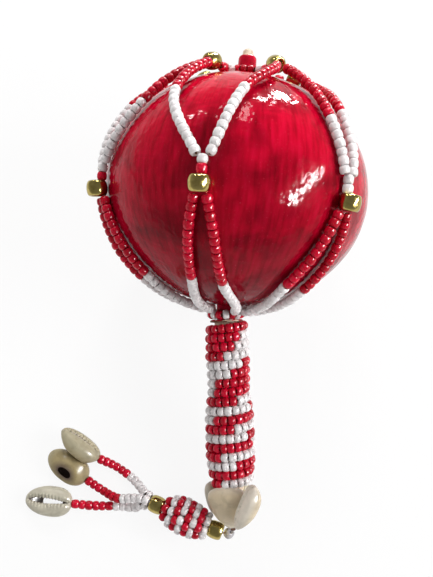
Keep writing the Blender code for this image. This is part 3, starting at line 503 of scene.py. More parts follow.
def gold_look():
    """Polished gold plate with fine scratches and dull spots."""
    look = new_look("gold_metal", Metallic=1.0)
    marks = spot_noise(look, 500.0, None, 4.0)
    colour = ramp(look, marks, (0.3, (0.33, 0.255, 0.07)), (0.65, (0.5, 0.4, 0.14)))
    dress(look, colour, ramp(look, marks, (0.35, 0.22), (0.6, 0.09)))
    add_bump(look, spot_noise(look, 420.0, None, 2.0), 0.12 * MM)
    return look


def wood_look(name, dark, light):
    """Pale wood with grain along the piece."""
    look = new_look(name, Specular_IOR_Level=0.12)
    grain = spot_noise(look, 900.0, own_place(look, (1, 1, 0.08)), 4.0, 0.6)
    colour = ramp(look, grain, (0.3, dark), (0.65, light))
    dress(look, colour, ramp(look, grain, (0.3, 0.75), (0.7, 0.5)))
    add_bump(look, grain, 0.12 * MM)
    return look


def painted_wood_look(name, edge, rise):
    """Wood painted red, with a brushed edge, above a height for a rise of 1 and below it for -1."""
    look = wood_look(name, (0.6, 0.45, 0.33), (0.78, 0.64, 0.5))
    inputs = surface_of(look).inputs
    bare, rough = (inputs[socket].links[0].from_socket for socket in ("Base Color", "Roughness"))
    height = height_in(look, own_place(look))
    ragged = calculated(look, "MULTIPLY", spot_noise(look, 260.0), 4.2 * MM)
    level = calculated(look, "ADD", height, ragged)
    low, high = (0.0, 1.0) if rise > 0 else (1.0, 0.0)
    mask = scaled(look, level, edge + 2.0 * MM, edge + 2.2 * MM, low, high)
    paint = ramp(look, spot_noise(look, 300.0), (0.3, (0.36, 0.003, 0.016)), (0.7, (0.56, 0.004, 0.03)))
    coloured = blend_colours(look, mask, bare, paint)
    dress(look, coloured, blend_colours(look, mask, rough, (0.14, 0.14, 0.14)))
    return look


def shell_look():
    """Glossy cowrie shell, pale at its base, beige at its back, and dark inside with painted shade of the
    hollow, in a tone by its shade that is partly painted light.
    """
    look = new_look("cowrie_shell", IOR=1.5, Specular_IOR_Level=0.25)
    mottle = spot_noise(look, 220.0, None, 4.0, 0.4)
    back = attribute(look, "back")
    creams = (0.0, (0.73, 0.69, 0.6)), (0.3, (0.69, 0.62, 0.48)), (0.75, (0.69, 0.59, 0.42))
    skin = ramp(look, back, *creams)
    # Each shell's tone, from its shade, is partly its own and partly painted light that makes up for how
    # much light falls where the shell lies
    tones = (0.0, (0.58, 0.54, 0.39)), (0.5, (0.82, 0.82, 0.78)), (1.0, (1.0, 0.96, 0.93))
    skin = blend_colours(look, 1.0, skin, ramp(look, attribute(look, "shade"), *tones), "MULTIPLY")
    worn = ramp(look, mottle, (0.3, 0.8), (0.65, 1.0))
    outside = blend_colours(look, 1.0, skin, worn, "MULTIPLY")
    # Inside the shell the colour turns dark brown: the shell's inner colour with painted shade of the
    # hollow
    coloured = blend_colours(look, attribute(look, "inside"), outside, (0.13, 0.09, 0.07))
    dress(look, coloured, ramp(look, mottle, (0.3, 0.2), (0.7, 0.38)))
    add_bump(look, mottle, 0.08 * MM)
    return look


def thread_look():
    """Waxed brown thread with its twist."""
    look = new_look("brown_thread", Roughness=0.8, Specular_IOR_Level=0.12)
    inputs = {"Scale": 900.0, "Distortion": 2.0, "Vector": place_in(look)}
    twist = add_node(look, "ShaderNodeTexWave", inputs).outputs["Fac"]
    dress(look, ramp(look, twist, (0.2, (0.09, 0.04, 0.025)), (0.8, (0.24, 0.12, 0.07))))
    add_bump(look, twist, 0.1 * MM)
    return look


LOOKS = {
    "lacquer": lacquer_look(),
    "inside": mottled_look("raw_gourd", 0.85, 260.0, 0.3, (0.3, 0.18, 0.08), (0.52, 0.36, 0.19), 0.3 * MM),
    "red": glass_look("red_glass", (0.46, 0.001, 0.015), (0.66, 0.003, 0.032), 0.16),
    "white": glass_look("white_glass", (0.76, 0.72, 0.72), (0.88, 0.85, 0.85), 0.22),
    "grey": glass_look("grey_glass", (0.5, 0.48, 0.5), (0.5, 0.48, 0.5), 0.3),
    "gold": gold_look(),
    "shell": shell_look(),
    "stick": painted_wood_look("handle_wood", SHOULDER_TOP - 0.4 * MM, 1),
    "plug": painted_wood_look("plug_wood", GOURD_HALF_HEIGHT + GAP + PLUG_HEIGHT, -1),
    "core": wood_look("core_wood", (0.45, 0.3, 0.18), (0.62, 0.45, 0.3)),
    "thread": thread_look(),
    "seed": mottled_look("dry_seed", 0.5, 700.0, 1.0, (0.1, 0.04, 0.015), (0.28, 0.14, 0.05), 0.2 * MM),
}


# Meshes


def mesh_of(name, corners, faces, looks, values=None):
    """A smooth mesh, with values for its corners."""
    mesh = bpy.data.meshes.new(name)
    mesh.from_pydata([tuple(c) for c in corners], [], faces)
    for look in looks:
        mesh.materials.append(look)
    for key, numbers in (values or {}).items():
        kind, part = ("FLOAT_VECTOR", "vector") if np.ndim(numbers) == 2 else ("FLOAT", "value")
        layer = mesh.attributes.new(key, kind, "POINT")
        layer.data.foreach_set(part, np.ravel(numbers).astype(np.float32))
    mesh.shade_smooth()
    return mesh


def finished(shape, name, look):
    """A smooth mesh from a shape in the making."""
    mesh = bpy.data.meshes.new(name)
    shape.to_mesh(mesh)
    shape.free()
    mesh.materials.append(look)
    mesh.shade_smooth()
    return mesh


def keep_own_places(mesh):
    """Store a mesh's own coordinates, for a pattern that follows the piece's axis."""
    spots = np.empty(3 * len(mesh.vertices), np.float32)
    mesh.vertices.foreach_get("co", spots)
    mesh.attributes.new("own", "FLOAT_VECTOR", "POINT").data.foreach_set("vector", spots)


def show(data):
    """A new object in the scene, with its data's name."""
    thing = bpy.data.objects.new(data.name, data)
    bpy.context.scene.collection.objects.link(thing)
    return thing


def add_piece(data, body, nodes=(), place=None):
    """Show a mesh or curve as a piece that rides on a body and stands for CAD nodes."""
    if place is not None:
        keep_own_places(data)
        data.transform(place)
    piece = show(data)
    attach(piece, body)
    if nodes:
        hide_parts(*nodes)
    return piece


def ring_faces(rings, sides, closed):
    """Faces between rings of corners. The rings are closed loops, and the row of rings may be too."""
    faces = []
    for ring in range(rings if closed else rings - 1):
        here, after = ring * sides, (ring + 1) % rings * sides
        for side in range(sides):
            beside = (side + 1) % sides
            faces.append((here + side, after + side, after + beside, here + beside))
    return faces


def turned(profile, steps):
    """Corners and faces of a closed profile of radii and heights, turned about +Z."""
    corners = []
    for n in range(steps):
        angle = 2 * pi * n / steps
        corners += [(radius * cos(angle), radius * sin(angle), height) for radius, height in profile]
    return corners, ring_faces(steps, len(profile), True)


def turned_mesh(name, profile, steps, look):
    """A turned mesh whose profile starts and ends on the axis."""
    shape = bmesh.new()
    spots = [shape.verts.new((radius, 0, height)) for radius, height in profile]
    edges = [shape.edges.new(pair) for pair in zip(spots, spots[1:])]
    turn = {"axis": (0, 0, 1), "cent": (0, 0, 0), "angle": 2 * pi}
    bmesh.ops.spin(shape, geom=spots + edges, steps=steps, use_merge=True, **turn)
    bmesh.ops.remove_doubles(shape, verts=shape.verts, dist=SMALL)
    bmesh.ops.recalc_face_normals(shape, faces=shape.faces)
    mesh = finished(shape, name, look)
    mesh.set_sharp_from_angle(angle=SHARP_TURN)
    return mesh


def eased(value, power):
    """A power of a value that keeps its sign."""
    return copysign(abs(value) ** power, value)


def bead_shape(steps, sides, hole, square):
    """Corners and faces of a bead of radius 1 and half length 1, with a hole along +Z."""
    profile = []
    for side in range(sides):
        angle = -2 * pi * (side + 0.5) / sides
        level = 1 - (1 - hole) / 2 * (1 - eased(cos(angle), square))
        profile.append((level, eased(sin(angle), square)))
    corners, faces = turned(profile, steps)
    return np.array(corners), faces


BEAD_SHAPE = bead_shape(BEAD_STEPS, BEAD_SIDES, BEAD_HOLE, BEAD_SQUARE)
GOLD_SHAPE = bead_shape(GOLD_STEPS, GOLD_SIDES, GOLD_HOLE, GOLD_SQUARE)


def beads_mesh(name, beads, look, shape):
    """One mesh of many beads."""
    template, template_faces = shape
    corners, faces, shades = [], [], []
    for count, bead in enumerate(beads):
        spin = np.array(facing(bead.way).to_3x3())
        sized = template * (bead.radius, bead.radius, bead.length / 2)
        corners.append(sized @ spin.T + np.array(bead.place))
        first = count * len(template)
        faces += [tuple(first + corner for corner in face) for face in template_faces]
        shades += [bead.shade] * len(template)
    return mesh_of(name, np.concatenate(corners), faces, [look], {"shade": shades})


def add_beads(name, beads, body, nodes=()):
    """A string's white beads and red beads, as two pieces. The first one stands for the CAD nodes."""
    pieces = []
    for white, word in ((True, "white"), (False, "red")):
        chosen = [bead for bead in beads if bead.white == white]
        if chosen:
            mesh = beads_mesh(f"{name}_{word}_beads", chosen, LOOKS[word], BEAD_SHAPE)
            pieces.append(add_piece(mesh, body, () if pieces else nodes))
    return pieces


def string_beads(route, colours):
    """Beads that fill a route, one for each letter of colours, each a little different."""
    line = Line(route)
    room = line.length / len(colours)
    marks = [n + rng.uniform(-0.5, 0.5) * BEAD_UNEVEN for n in range(len(colours) + 1)]
    marks[0], marks[-1] = 0, len(colours)
    beads = []
    for colour, start, end in zip(colours, marks, marks[1:]):
        place, way = line.at((start + end) / 2 * room)
        tilt = Vector([rng.uniform(-BEAD_TILT, BEAD_TILT) for _ in range(3)])
        radius = BEAD_RADIUS * rng.uniform(*BEAD_SIZES)
        length = (end - start) * room
        beads.append(Bead(place, (way + tilt).normalized(), radius, length, colour == "W", rng.random()))
    return beads


def even_colours(route, whites_first=0, whites_last=0):
    """Letters for the beads that fit a route, white at its ends and red between."""
    count = round(Line(route).length / NET_SPACING)
    return "W" * whites_first + "R" * (count - whites_first - whites_last) + "W" * whites_last


def add_thread(name, points, body="maraca", nodes=(), radius=THREAD_RADIUS):
    """A thread along points."""
    curve = bpy.data.curves.new(name, "CURVE")
    curve.dimensions = "3D"
    curve.bevel_depth = radius
    curve.bevel_resolution = TUBE_SIDES
    curve.use_fill_caps = True
    spline = curve.splines.new("POLY")
    spline.points.add(len(points) - 1)
    for spot, point in zip(spline.points, points):
        spot.co = (*point, 1.0)
    curve.materials.append(LOOKS["thread"])
    return add_piece(curve, body, nodes)


# Routes


def smooth_route(controls):
    """Many points on a smooth curve through a few points."""
    padded = [2 * controls[0] - controls[1], *controls, 2 * controls[-1] - controls[-2]]
    route = []
    for before, start, end, after in zip(padded, padded[1:], padded[2:], padded[3:]):
        for t in shares(POINTS_PER_SPAN)[:-1]:
            bend = (2 * before - 5 * start + 4 * end - after) * t**2
            twist = (3 * start - before - 3 * end + after) * t**3
            route.append(0.5 * (2 * start + (end - before) * t + bend + twist))
    return [*route, controls[-1]]


def smooth_places(places):
    """Many places on a smooth line through a few places over the gourd, which never swings past them."""
    spans = [(b[0] - a[0], b[1] - a[1]) for a, b in zip(places, places[1:])]
    slopes = [turn / rise for turn, rise in spans]
    bends = [2 * a * b / (a + b) if a * b > 0 else 0.0 for a, b in zip(slopes, slopes[1:])]
    bends = [slopes[0], *bends, slopes[-1]]
    line = []
    for (azimuth, latitude), (turn, rise), first, last in zip(places, spans, bends, bends[1:]):
        for t in shares(POINTS_PER_SPAN)[:-1]:
            ease = t * t * (3 - 2 * t)
            pull = rise * (first * t * (1 - t) ** 2 - last * t * t * (1 - t))
            line.append((azimuth + turn * ease + pull, latitude + rise * t))
    return [*line, places[-1]]


def round_axis(azimuth, radius, height):
    """A point about +Z."""
    return Vector((radius * sin(azimuth), -radius * cos(azimuth), height))


def over_gourd(azimuth, latitude, lift):
    """A point over the gourd's outside, in the frame of the table."""
    level = (GOURD_RADIUS + lift) * cos(latitude)
    height = (GOURD_HALF_HEIGHT + lift) * sin(latitude)
    return GOURD @ round_axis(azimuth, level, height)


def over_places(places, rise=0.0):
    """A string's points through places over the gourd, which it leaves towards its end by rise."""
    spots = smooth_places(places)
    points = []
    for share, (azimuth, latitude) in zip(shares(len(spots) - 1), spots):
        points.append(over_gourd(azimuth, latitude, STRING_LIFT + rise * share**3))
    return points


def lower_string(meridian, side):
    """A string from below a waist bead to the neck ring."""
    azimuth, left_neck, right_neck, _, _ = MERIDIANS[meridian]
    neck = left_neck if side < 0 else right_neck
    start = WAIST_LATITUDE - (GOLD_LENGTH / 2 + GAP) / GOURD_HALF_HEIGHT
    ring_slides = -NECK_RING_HEIGHT * tan(GOURD_LEAN)
    end_radius = NECK_RING_OUTER + ring_slides + 2 * GAP
    end = -acos(end_radius / (GOURD_RADIUS + STRING_LIFT))
    places = [(radians(azimuth) + side * STRING_BESIDE, start)]
    places += [(radians(azimuth + side * spread), radians(latitude)) for latitude, spread in LOWER_SPREAD]
    places += [(radians(neck), end)]
    return over_places(places)


def stem_latitudes():
    """Where the two beads between a waist bead and its fork start and end."""
    start = WAIST_LATITUDE + GOLD_LENGTH / 2 / GOURD_HALF_HEIGHT
    return start, start + STEM_LENGTH / GOURD_HALF_HEIGHT


def upper_string(meridian, crown_azimuth, side):
    """A string from the fork to a crown bead."""
    azimuth, _, _, left_spread, right_spread = MERIDIANS[meridian]
    spread = left_spread if side < 0 else right_spread
    fork = stem_latitudes()[1]
    end = CROWN_LATITUDE - (GOLD_LENGTH / 2 + GAP) / GOURD_HALF_HEIGHT
    beside_crown = asin((BEAD_RADIUS + GAP / 2) / ((GOURD_RADIUS + STRING_LIFT) * cos(end)))
    places = [(radians(azimuth) + side * STRING_BESIDE, fork)]
    places += [(radians(azimuth + side * spread), radians(FORK_LATITUDE))]
    places += [(radians(crown_azimuth) - side * beside_crown, end)]
    return over_places(places, CROWN_STRING_RISE)


def short_string(azimuth, start, end):
    """A string up a meridian."""
    latitudes = [start + (end - start) * share for share in shares(SHORT_POINTS)]
    return [over_gourd(azimuth, latitude, STRING_LIFT) for latitude in latitudes]


def stick_radius(height):
    """The stick's radius under the winding."""
    place = (SHOULDER_END - height) / (SHOULDER_END - COWRIE_TOP) * (len(STICK_RADII) - 1)
    place = min(max(place, 0.0), len(STICK_RADII) - 1 - SMALL)
    index = int(place)
    share = (1 - cos(pi * (place - index))) / 2
    return STICK_RADII[index] + (STICK_RADII[index + 1] - STICK_RADII[index]) * share


def wrap_point(turn):
    """A point on the winding's centreline."""
    height = WRAP_TOP - WRAP_PITCH * turn
    return MARACA @ round_axis(-2 * pi * turn, stick_radius(height) + BEAD_RADIUS, height)


def ring_route(matrix, radius, height, first):
    """Points round a bead ring, from an azimuth and back to it."""
    turns = [first + 2 * pi * share for share in shares(RING_POINTS)]
    return [matrix @ round_axis(turn, radius, height) for turn in turns]


def flat_way(heading, rise=0.0):
    """A direction with a heading about +Z from +X and a rise."""
    return Vector((cos(heading) * cos(rise), sin(heading) * cos(rise), sin(rise)))


# The gourd and the handle


def gourd_profile():
    """The shell's radii and heights, down its outside and up its inside, and the latitudes there."""
    profile, latitudes = [], []
    for inset, way in ((0.0, 1), (GOURD_WALL, -1)):
        radius, height = GOURD_RADIUS - inset, GOURD_HALF_HEIGHT - inset
        top, bottom = acos(PLUG_HOLE_RADIUS / radius), -acos(NECK_HOLE_RADIUS / radius)
        for share in shares(GOURD_RINGS)[::way]:
            latitude = top + (bottom - top) * share
            profile.append((radius * cos(latitude), height * sin(latitude)))
            latitudes.append(latitude)
    return profile, latitudes


def add_gourd():
    """The gourd's shell, a little uneven outside as a grown gourd is."""
    profile, latitudes = gourd_profile()
    sides = len(profile)
    corners, faces = turned(profile, GOURD_STEPS)
    brush = []
    for index, corner in enumerate(corners):
        azimuth = atan2(corner[1], corner[0])
        along = BRUSH_ALONG * latitudes[index % sides]
        brush.append((BRUSH_ROUND * cos(azimuth), BRUSH_ROUND * sin(azimuth), along))
        if index % sides <= GOURD_RINGS:
            way = Vector(corner).normalized()
            swell = sum(hills.noise(way * close) * height for close, height in GOURD_SWELLS)
            corners[index] = Vector(corner) + way * (swell - GOURD_SINK)
    looks = [LOOKS["lacquer"], LOOKS["inside"]]
    mesh = mesh_of("gourd_skin", corners, faces, looks, {"brush": brush})
    for face in mesh.polygons:
        face.material_index = 0 if (face.index % sides) <= GOURD_RINGS else 1
    add_piece(mesh, "maraca", ["gourd_shell"], GOURD)


def add_plug():
    """The painted plug with its bare tip."""
    seat = GOURD_HALF_HEIGHT + GAP
    shoulder = seat + PLUG_HEIGHT
    top = shoulder + PLUG_TIP_HEIGHT
    shank = PLUG_HOLE_RADIUS - GAP
    inside = GOURD_HALF_HEIGHT - GOURD_WALL - PLUG_INSIDE
    dome = PLUG_TIP_RADIUS * PLUG_DOME
    spread, above = PLUG_TIP_FOOT
    edge, drop = PLUG_EDGE
    belly, belly_height = PLUG_BELLY
    profile = []
    for share in shares(DOME_POINTS):
        angle = pi / 2 * share
        profile.append((PLUG_TIP_RADIUS * sin(angle), top - dome * (1 - cos(angle))))
    profile.append((PLUG_TIP_RADIUS * spread, shoulder + above))
    for share in shares(EDGE_POINTS):
        angle = pi / 2 * share
        profile.append((PLUG_RADIUS - edge * (1 - sin(angle)), shoulder - drop * (1 - cos(angle))))
    profile += [(PLUG_RADIUS * belly, seat + belly_height), (PLUG_RADIUS, seat + PLUG_FOOT)]
    profile += [(PLUG_RADIUS, seat), (shank, seat), (shank, inside), (0, inside)]
    mesh = turned_mesh("plug_wood", profile, STICK_STEPS, LOOKS["plug"])
    add_piece(mesh, "maraca", ["top_plug"], GOURD)


def add_stick():
    """The wooden handle, from its tenon to its whittled end."""
    top = TENON_INSIDE + GOURD_WALL / 2
    edge = TENON_RADIUS * TENON_EDGE
    profile = [(0, top), (TENON_RADIUS - edge, top), (TENON_RADIUS, top - edge)]
    profile.append((TENON_RADIUS, SHOULDER_TOP))
    profile += [(SHOULDER_RADIUS - inward, SHOULDER_TOP - down) for inward, down in SHOULDER_EDGE]
    profile += [(SHOULDER_RADIUS - inward, SHOULDER_END + up) for inward, up in SHOULDER_FOOT]
    for share in shares(STICK_POINTS):
        height = SHOULDER_END + (COWRIE_TOP - SHOULDER_END) * share
        profile.append((stick_radius(height), height))
    profile += [(STICK_TIP_RADIUS, STICK_END), (0, STICK_END)]
    mesh = turned_mesh("handle_wood", profile, STICK_STEPS, LOOKS["stick"])
    add_piece(mesh, "maraca", ["handle_stick"], MARACA)


def shoulder_thread():
    """The winding's thread above its first bead, laid round the stick's shoulder."""
    points = []
    for share in shares(WRAP_TAIL_POINTS):
        height = SHOULDER_END + WRAP_TAIL_TOP - WRAP_TAIL_FALL * share
        points.append(MARACA @ round_axis(-2 * pi * WRAP_TAIL_TURNS * share, SHOULDER_RADIUS, height))
    return points


def add_winding():
    """The bead string wound round the handle, and its thread."""
    turns = [WRAP_FIRST + (WRAP_LAST - WRAP_FIRST) * share for share in shares(WRAP_POINTS)]
    route = [wrap_point(turn) for turn in turns]
    line = Line(route)
    count = round(line.length / BEAD_SPACING)
    colours = ""
    for n in range(count):
        distance = line.length * (n + 0.5) / count
        turn = turns[min(bisect_right(line.marks, distance), len(turns) - 1)]
        colours += "R" if bisect_right(WRAP_CHANGES, turn) % 2 == 0 else "W"
    add_beads("handle", string_beads(route, colours), "maraca", ["handle_bead_wrap"])
    add_thread("handle_thread", shoulder_thread() + route, radius=WRAP_THREAD_RADIUS)


# The bead net


def add_gold_bead(name, place, way, radius, length, body, node):
    """A polished gold bead."""
    bead = Bead(Vector(), Vector((0, 0, 1)), radius, length, False, 0.5)
    mesh = beads_mesh(name, [bead], LOOKS["gold"], GOLD_SHAPE)
    add_piece(mesh, body, [node], Matrix.Translation(place) @ facing(way))


def add_net_gold(name, azimuth, latitude, radius, lift):
    """A gold bead over the gourd, with its hole along the meridian."""
    reach = GOLD_LENGTH / 2 / GOURD_HALF_HEIGHT
    low, high = (over_gourd(azimuth, latitude + way * reach, lift) for way in (-1, 1))
    place = over_gourd(azimuth, latitude, lift)
    add_gold_bead(f"{name}_shine", place, high - low, radius, GOLD_LENGTH, "maraca", name)


def add_meridian(index, meridian):
    """One double string of the net with its gold beads."""
    azimuth = radians(MERIDIANS[meridian][0])
    crown_left = CROWN_AZIMUTHS[index]
    crown_right = CROWN_AZIMUTHS[(index + 1) % len(CROWN_AZIMUTHS)]
    if crown_right < crown_left:
        crown_right += 360
    radius = GOLD_RADIUS if "back" in meridian else WAIST_GOLD_RADIUS
    add_net_gold(f"waist_gold_bead_{meridian}", azimuth, WAIST_LATITUDE, radius, radius + GAP / 2)
    crown = f"crown_gold_bead_{index + 1}"
    add_net_gold(crown, radians(crown_left), CROWN_LATITUDE, GOLD_RADIUS, CROWN_GOLD_LIFT)
    stem = short_string(azimuth, *stem_latitudes())
    arm_start = CROWN_LATITUDE + (GOLD_LENGTH / 2 + GAP) / GOURD_HALF_HEIGHT
    arm_end = acos((CROWN_RING_RADIUS + BEAD_RADIUS) / (GOURD_RADIUS + STRING_LIFT))
    arm = short_string(radians(crown_right), arm_start, arm_end)
    strings = ((-1, "left", crown_left, stem, "stem"), (1, "right", crown_right, arm, "arm"))
    for side, word, crown_azimuth, extra, end in strings:
        title = f"{meridian}_{word}"
        lower = lower_string(meridian, side)
        beads = string_beads(lower, even_colours(lower, 0, WHITES_AT_NECK))
        add_beads(f"lower_{title}", beads, "maraca", [f"lower_string_{title}"])
        add_thread(f"lower_{title}_thread", lower)
        upper = upper_string(meridian, crown_azimuth, side)
        whites = WHITES_AT_FORK.get(meridian, OTHER_WHITES_AT_FORK)[side > 0]
        beads = string_beads(upper, even_colours(upper, whites))
        beads += string_beads(extra, "WW" if (meridian, end) == ("right", "stem") else "RW")
        add_beads(f"upper_{title}", beads, "maraca", [f"upper_string_{title}"])
        add_thread(f"upper_{title}_thread", upper)
        add_thread(f"upper_{title}_{end}_thread", extra)


def add_rings():
    """The bead rings round the neck and round the plug."""
    neck = ring_route(MARACA, NECK_RING_RADIUS, NECK_RING_HEIGHT, NECK_RING_FIRST)
    add_beads("neck_ring", string_beads(neck, "WR" * (NECK_BEADS // 2)), "maraca", ["neck_bead_ring"])
    share = CROWN_RING_RADIUS / (GOURD_RADIUS + STRING_LIFT)
    height = (GOURD_HALF_HEIGHT + STRING_LIFT) * sqrt(1 - share**2)
    crown = ring_route(GOURD, CROWN_RING_RADIUS, height, 0.0)
    add_beads("crown_ring", string_beads(crown, "R" * CROWN_BEADS), "maraca", ["crown_bead_ring"])
    add_thread("neck_ring_thread", neck)
    add_thread("crown_ring_thread", crown)


# Cowries


def cowrie_ring(size, share, tooth, slit, egg):
    """A cross-section of a cowrie at a share of its half length: its outside, from lip to lip."""
    _, width, height = size
    # Full in the middle, blunt at the broad end and pointed at the other
    full = max(1 - abs(share) ** (2 + 12 * egg if share > 0 else 2.1 - 2 * egg), 0.0)
    swell = 1 + egg * share
    half = width / 2 * full**0.5 * swell
    back = height * COWRIE_BACK * full**0.85 * swell
    base = height * (1 - COWRIE_BACK) * full**0.4
    opening = min(slit, half * 0.6)
    start = asin(opening / half) if half > SMALL else 0.0
    points = []
    for n in range(2 * COWRIE_STEPS + 1):
        spread = (1 - cos(pi * n / (2 * COWRIE_STEPS))) / 2
        angle = -pi / 2 + start + (2 * pi - 2 * start) * (0.35 * n / (2 * COWRIE_STEPS) + 0.65 * spread)
        x, rise = half * cos(angle), sin(angle)
        y = back * rise**0.8 if rise > 0 else -base * (-rise) ** 0.75
        if rise < 0:
            off = abs(x) - opening
            y += min(LIP_DEPTH, base * 0.5) * exp(-((off / LIP_WIDTH) ** 2))
            y -= TOOTH_DEPTH * tooth * exp(-((off / TOOTH_REACH) ** 2))
        points.append((x, y))
    return points


def cut_back(shape, normal, level):
    """Cut a hollow shape along a plane, and close the rim between its outside and its inside."""
    everything = [*shape.verts, *shape.edges, *shape.faces]
    plane = {"plane_co": normal * level, "plane_no": normal}
    bmesh.ops.bisect_plane(shape, geom=everything, clear_outer=True, dist=SMALL, **plane)
    open_edges = [edge for edge in shape.edges if edge.is_boundary]
    rim = [e for e in open_edges if all(abs(v.co.dot(normal) - level) < 10 * SMALL for v in e.verts)]
    bmesh.ops.bridge_loops(shape, edges=rim)


def cowrie_mesh(name, size, slit, teeth, shade, egg, cut=None):
    """A hollow cowrie with toothed lips, its broad end at +Z and its back, which may be cut off, at +Y."""
    length, width, height = size
    corners, backs, insides = [], [], []
    shrink = [1 - 2 * COWRIE_SHELL / measure for measure in (width, height, length)]
    rings = COWRIE_RINGS + 1
    for ring in range(rings):
        share = sin(pi / 2 * (2 * ring / COWRIE_RINGS - 1)) * 0.9995
        tooth = 0.5 - 0.5 * cos(2 * pi * teeth * share * 0.5)
        window = max(1 - (share / SLIT_REACH) ** 2, 0.0) ** 0.7
        opening = max(slit * window * (1 - SLIT_TAPER * share) * (1 - SLIT_PINCH * tooth), SLIT_LEAST)
        section = cowrie_ring(size, share, tooth, opening, egg)
        for inner in (False, True):
            for x, y in reversed(section) if inner else section:
                spot = Vector((x, y, share * length / 2))
                backs.append(max(y, 0.0) / (height * COWRIE_BACK))
                # marks the inside faces, which the look darkens with painted shade of the hollow
                insides.append(1.0 if inner else 0.0)
                corners.append(Vector([a * b for a, b in zip(spot, shrink)]) if inner else spot)
    faces = ring_faces(rings, len(corners) // rings, False)
    values = {"back": backs, "inside": insides, "shade": [shade] * len(corners)}
    mesh = mesh_of(name, corners, faces, [LOOKS["shell"]], values)
    shape = bmesh.new()
    shape.from_mesh(mesh)
    ends = [edge for edge in shape.edges if edge.is_boundary]
    bmesh.ops.remove_doubles(shape, verts=list({v for e in ends for v in e.verts}), dist=CLOSE)
    if cut is not None:
        left, tilt = cut[0], radians(cut[1])
        cut_back(shape, Vector((sin(tilt), cos(tilt), 0)), height * COWRIE_BACK * left)
    bmesh.ops.recalc_face_normals(shape, faces=shape.faces)
    shape.to_mesh(mesh)
    shape.free()
    mesh.shade_smooth()
    mesh.set_sharp_from_angle(angle=SHARP_SHELL)
    return mesh


def end_cowrie_place(cowrie):
    """Where an end cowrie sits on the stick's whittled end."""
    length, _, height = cowrie.size
    middle = COWRIE_TOP + cowrie.rise - length / 2 * cos(STICK_TIP_SLOPE)
    seat = STICK_TIP_RADIUS + (middle - STICK_END) * tan(STICK_TIP_SLOPE)
    out, up = round_axis(radians(cowrie.azimuth), 1, 0), Vector((0, 0, 1))
    upright = up * cos(STICK_TIP_SLOPE) + out * sin(STICK_TIP_SLOPE)
    away = out * cos(STICK_TIP_SLOPE) - up * sin(STICK_TIP_SLOPE)
    lean = asin(cowrie.tip_off / (length / 2))
    along = upright * cos(lean) + away.cross(upright) * sin(lean)
    inner_side = height * ((1 - COWRIE_BACK) if cowrie.back_out else COWRIE_BACK)
    back = away if cowrie.back_out else -away
    place = up * middle + out * seat + away * (GAP + cowrie.off + inner_side)
    spin = with_axes(back.cross(along), back, along) @ Matrix.Rotation(radians(cowrie.spin), 4, "Z")
    return MARACA @ Matrix.Translation(place) @ spin


def add_end_cowries():
    """The cowries round the handle's whittled end."""
    for name, cowrie in END_COWRIES.items():
        egg = FRONT_EGG if cowrie.back_out else END_EGG
        mesh = cowrie_mesh(f"end_shell_{name}", cowrie.size, END_SLIT, END_TEETH, cowrie.shade, egg)
        place = end_cowrie_place(cowrie)
        add_piece(mesh, "maraca", [f"end_cowrie_{name}"], place)


# The tassel


def add_tail():
    """The tail thread with its knot, and the pale bead below it."""
    way = KNOT_BEAD_WAY
    low = MARACA.inverted() @ (KNOT_BEAD_PLACE - way * (KNOT_RADIUS + GAP + KNOT_BEAD_RADIUS))
    heights = [STICK_END + (low.z - STICK_END) * share for share in shares(TAIL_POINTS)]
    points = [MARACA @ Vector((0, 0, height)) for height in heights]
    for share in shares(KNOT_POINTS):
        angle = 2 * pi * share
        level = KNOT_LOOP + KNOT_SWING * cos(3 * angle)
        spot = Vector((level * cos(2 * angle), level * sin(2 * angle), KNOT_HEIGHT * sin(3 * angle)))
        points.append(MARACA @ (low + spot))
    points.append(KNOT_BEAD_PLACE - way * KNOT_BEAD_REACH)
    add_thread("tail_knot", points, "maraca", ["tail_thread"], KNOT_THREAD_RADIUS)
    bead = Bead(KNOT_BEAD_PLACE, way, KNOT_BEAD_RADIUS, KNOT_BEAD_LENGTH, True, 0.5)
    mesh = beads_mesh("pale_bead", [bead], LOOKS["grey"], BEAD_SHAPE)
    add_piece(mesh, "tassel_knot", ["knot_bead"])


def bobbin_radius(share):
    """The bobbin's outer radius at a share of its half length."""
    return BOBBIN_END_RADIUS + (BOBBIN_RADIUS - BOBBIN_END_RADIUS) * (1 - abs(share) ** BOBBIN_SWELL)


def bobbin_beads(matrix):
    """The bobbin's beads, in rings of alternating colour."""
    half = BOBBIN_LENGTH / 2
    beads = []
    for ring in range(BOBBIN_RINGS):
        share = 2 * (ring + 0.5) / BOBBIN_RINGS - 1
        level = bobbin_radius(share) - BEAD_RADIUS
        slope = (bobbin_radius(share + 0.01) - bobbin_radius(share - 0.01)) / (0.02 * half)
        count = round(2 * pi * level / BOBBIN_BEAD_ROOM)
        for n in range(count):
            angle = 2 * pi * (n + 0.5 * (ring % 2)) / count + rng.uniform(-BOBBIN_TURN, BOBBIN_TURN)
            out = Vector((cos(angle), sin(angle), 0))
            height = share * half + rng.uniform(-BOBBIN_STRAY, BOBBIN_STRAY)
            place = matrix @ (out * level + Vector((0, 0, height)))
            way = (matrix.to_3x3() @ (Vector((0, 0, 1)) + out * slope)).normalized()
            length = BOBBIN_LENGTH / BOBBIN_RINGS * rng.uniform(*BOBBIN_BEAD_LENGTHS)
            radius = BEAD_RADIUS * rng.uniform(*BEAD_SIZES)
            beads.append(Bead(place, way, radius, length, ring % 2 == 0, rng.random()))
    return beads


